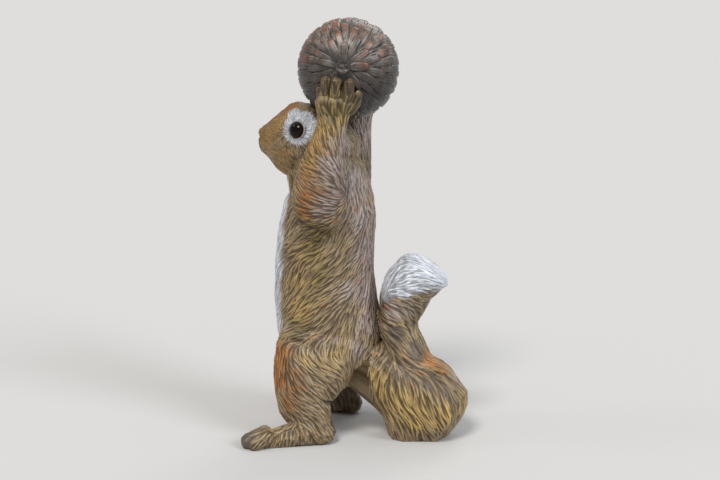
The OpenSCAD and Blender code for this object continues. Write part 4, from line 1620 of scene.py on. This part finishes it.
    def build_stalk(self, wood: Material) -> Piece:
        """Turn the broken stalk with its raised bark rim and sunken, pitted end.

        Args:
            wood: The stalk's material.

        Returns:
            The stalk.
        """
        bpy.ops.mesh.primitive_cylinder_add(
            vertices=self.stalk_sides, radius=self.stalk_radius, depth=self.stalk_depth
        )
        stalk = added("cone_stalk")
        with editing("DESELECT"):
            bpy.ops.mesh.select_mode(type="FACE")
            edit = bmesh.from_edit_mesh(stalk.data)
            for face in edit.faces:
                face.select = face.normal.z < -0.9
            bmesh.update_edit_mesh(stalk.data)
            for thickness, drop in ((self.bark, -self.bark_height), (self.lip, self.sunk)):
                bpy.ops.mesh.inset(thickness=thickness)
                bpy.ops.mesh.extrude_region_move(TRANSFORM_OT_translate={"value": (0, 0, drop)})
            for _ in range(self.pith_rings):
                bpy.ops.mesh.inset(thickness=self.pith_ring)
            bpy.ops.mesh.poke()
        phases = np.random.default_rng(SEED + 2).uniform(0, PHASES, len(self.knobs))
        stand = self.stand()
        for vertex in stalk.data.vertices:
            x, y, z = vertex.co
            swing = math.atan2(y, x)
            girth = 1.0
            for (height, count), phase in zip(self.knobs, phases):
                girth += height * math.sin(count * swing + phase)
            hollow = 0.0
            for pit in range(self.pits):
                way = math.radians(360 / self.pits * pit + self.pit_turn)
                aside = (x - self.pit_place * math.cos(way)) ** 2 + (y - self.pit_place * math.sin(way)) ** 2
                hollow += self.pit_depth * math.exp(-aside)
            z += (hollow if z < 0 else 0.0) - self.stalk_end + self.stalk_overlap
            vertex.co = stand @ Vector((x * girth, y * girth, z)) * MM
        stalk.data.materials.append(wood)
        pick_up(stalk)
        bpy.ops.object.shade_smooth_by_angle(angle=math.radians(40))
        return stalk

    def build(self) -> list[Piece]:
        """Make and dress the cone.

        Returns:
            Its pieces.
        """
        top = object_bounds()[1][2]
        varnish = ConeVarnish().material()
        pieces = [self.build_core(varnish), self.build_scales(varnish)]
        pieces.append(self.build_stalk(CutWood().material()))
        for piece in pieces:
            for vertex in piece.data.vertices:
                vertex.co.z = min(vertex.co.z, top)
            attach(piece, "root")
            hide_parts("pine_cone")
            log.info("%s: %d faces", piece.name, len(piece.data.polygons))
        return pieces


class Side(Enum):
    """The animal's own sides, by the sign of Y."""

    LEFT = -1
    RIGHT = 1


@dataclass
class GlassEye:
    """A domed glass eye in its socket."""

    side: Side
    place: Triple = (-37.3, 22.3, 200.1)
    turn: float = 14.0
    lift: float = 12.0
    radius: float = 4.8
    dome: float = 2.8
    shank: float = 3.9

    def axis(self) -> Vector:
        """The way the eye looks."""
        swing, rise = math.radians(90 + self.turn), math.radians(self.lift)
        way = Vector((math.cos(swing) * math.cos(rise), math.sin(swing) * math.cos(rise), math.sin(rise)))
        return Vector((way.x, way.y * self.side.value, way.z))

    def build(self) -> Piece:
        """Turn the eye from a sphere: a shallow dome over a short shank."""
        eye = unit_ball(f"{self.side.name.lower()}_glass_eye")
        axis = self.axis()
        middle = Vector((self.place[0], self.place[1] * self.side.value, self.place[2]))
        turn = axis.to_track_quat("Z", "Y").to_matrix()
        for vertex in eye.data.vertices:
            x, y, z = vertex.co
            spot = Vector((x * self.radius, y * self.radius, z * (self.dome if z > 0 else self.shank)))
            vertex.co = (middle + turn @ spot) * MM
        eye.data.materials.append(EyeGlass().material(middle * MM, axis, self.radius * MM))
        pick_up(eye)
        bpy.ops.object.shade_smooth()
        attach(eye, "root")
        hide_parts(f"{self.side.name.lower()}_eye")
        log.info("%s: %d faces", eye.name, len(eye.data.polygons))
        return eye


def dress_dowels(nodes: dict[str, Piece]) -> None:
    """Give the hidden dowels their steel.

    Args:
        nodes: The frame's nodes.
    """
    steel = DowelSteel().material()
    for name in ("left_arm_dowel", "right_arm_dowel", "tail_dowel"):
        nodes[name].data.materials.clear()
        nodes[name].data.materials.append(steel)
        log.info("%s keeps its CAD shape", name)


@dataclass(frozen=True)
class Lamp:
    """A light from far away, its source spread over some degrees of the room."""

    name: str
    place: Triple
    spread: float
    strength: float
    colour: Triple = (1.0, 1.0, 1.0)

    def hang(self) -> None:
        """Hang the light so that it shines from its place towards the figurine."""
        sun = bpy.data.lights.new(self.name, "SUN")
        sun.angle = math.radians(self.spread)
        sun.energy = self.strength
        sun.color = self.colour
        holder = bpy.data.objects.new(self.name, sun)
        bpy.context.scene.collection.objects.link(holder)
        holder.location = self.place
        holder.rotation_euler = Vector(self.place).to_track_quat("Z", "Y").to_euler()


@dataclass
class Studio:
    """The pale floor, the soft lights and the camera."""

    lamps: tuple[Lamp, ...] = (
        Lamp("key", (-0.08, -0.631, 0.766), 18.0, 2.2, (1.0, 0.99, 0.97)),
        Lamp("window", (-0.74, -0.20, 0.643), 10.0, 0.2),
        Lamp("side", (1.2, -0.5, 0.80), 25.0, 1.75, (0.82, 0.90, 1.0)),
        Lamp("back", (0.2, 1.3, 1.16), 32.0, 0.7),
    )
    floor_size: float = 12.0
    floor_colour: str = "c0bdb9"
    sky_colour: str = "d6dae0"
    backdrop: str = "dfdedd"
    sky_strength: float = 0.64
    turn: float = 15.0
    tilt: float = 10.5
    lens: float = 65.0
    sensor: float = 36.0
    camera_place: Triple = (0.2120, -0.7989, 0.281)

    def lay_floor(self) -> None:
        """Lay the floor."""
        bpy.ops.mesh.primitive_plane_add(size=self.floor_size, location=(0, 0, 0))
        floor = added("floor")
        sheet = NodeSheet("pale_floor")
        floor.data.materials.append(
            sheet.finish(Base_Color=pigment(self.floor_colour), Roughness=1.0, Specular_IOR_Level=0.0)
        )
        floor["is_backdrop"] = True

    def set_world(self) -> None:
        """Surround the figurine with even pale light, and show the backdrop behind it."""
        world = bpy.data.worlds.new("room")
        bpy.context.scene.world = world
        world.use_nodes = True
        tree = world.node_tree
        sky = tree.nodes["Background"]
        sky.inputs["Color"].default_value = pigment(self.sky_colour)
        sky.inputs["Strength"].default_value = self.sky_strength
        wall = tree.nodes.new("ShaderNodeBackground")
        wall.inputs["Color"].default_value = pigment(self.backdrop)
        seen = tree.nodes.new("ShaderNodeLightPath")
        mix = tree.nodes.new("ShaderNodeMixShader")
        tree.links.new(seen.outputs["Is Camera Ray"], mix.inputs[0])
        tree.links.new(sky.outputs[0], mix.inputs[1])
        tree.links.new(wall.outputs[0], mix.inputs[2])
        tree.links.new(mix.outputs[0], tree.nodes["World Output"].inputs[0])

    def set_camera(self) -> None:
        """Stand the camera where the photograph was taken from."""
        data = bpy.data.cameras.new("camera")
        data.lens = self.lens
        data.sensor_width = self.sensor
        holder = bpy.data.objects.new("camera", data)
        bpy.context.scene.collection.objects.link(holder)
        holder.location = self.camera_place
        holder.rotation_euler = (math.radians(90 - self.tilt), 0, math.radians(self.turn))
        bpy.context.scene.camera = holder

    def build(self) -> None:
        """Set up the studio."""
        self.set_camera()
        self.lay_floor()
        self.set_world()
        for lamp in self.lamps:
            lamp.hang()
        bpy.context.scene.view_settings.view_transform = "Standard"


def main() -> None:
    """Build the figurine's looks in order."""
    logging.basicConfig(level=logging.INFO, format="%(message)s", stream=sys.stdout, force=True)
    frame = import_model()
    Studio().build()
    Castings(frame["nodes"]).build(FurPaint().material())
    PineCone().build()
    for side in Side:
        GlassEye(side).build()
    dress_dowels(frame["nodes"])
    deselect()


if __name__ == "__main__":
    main()
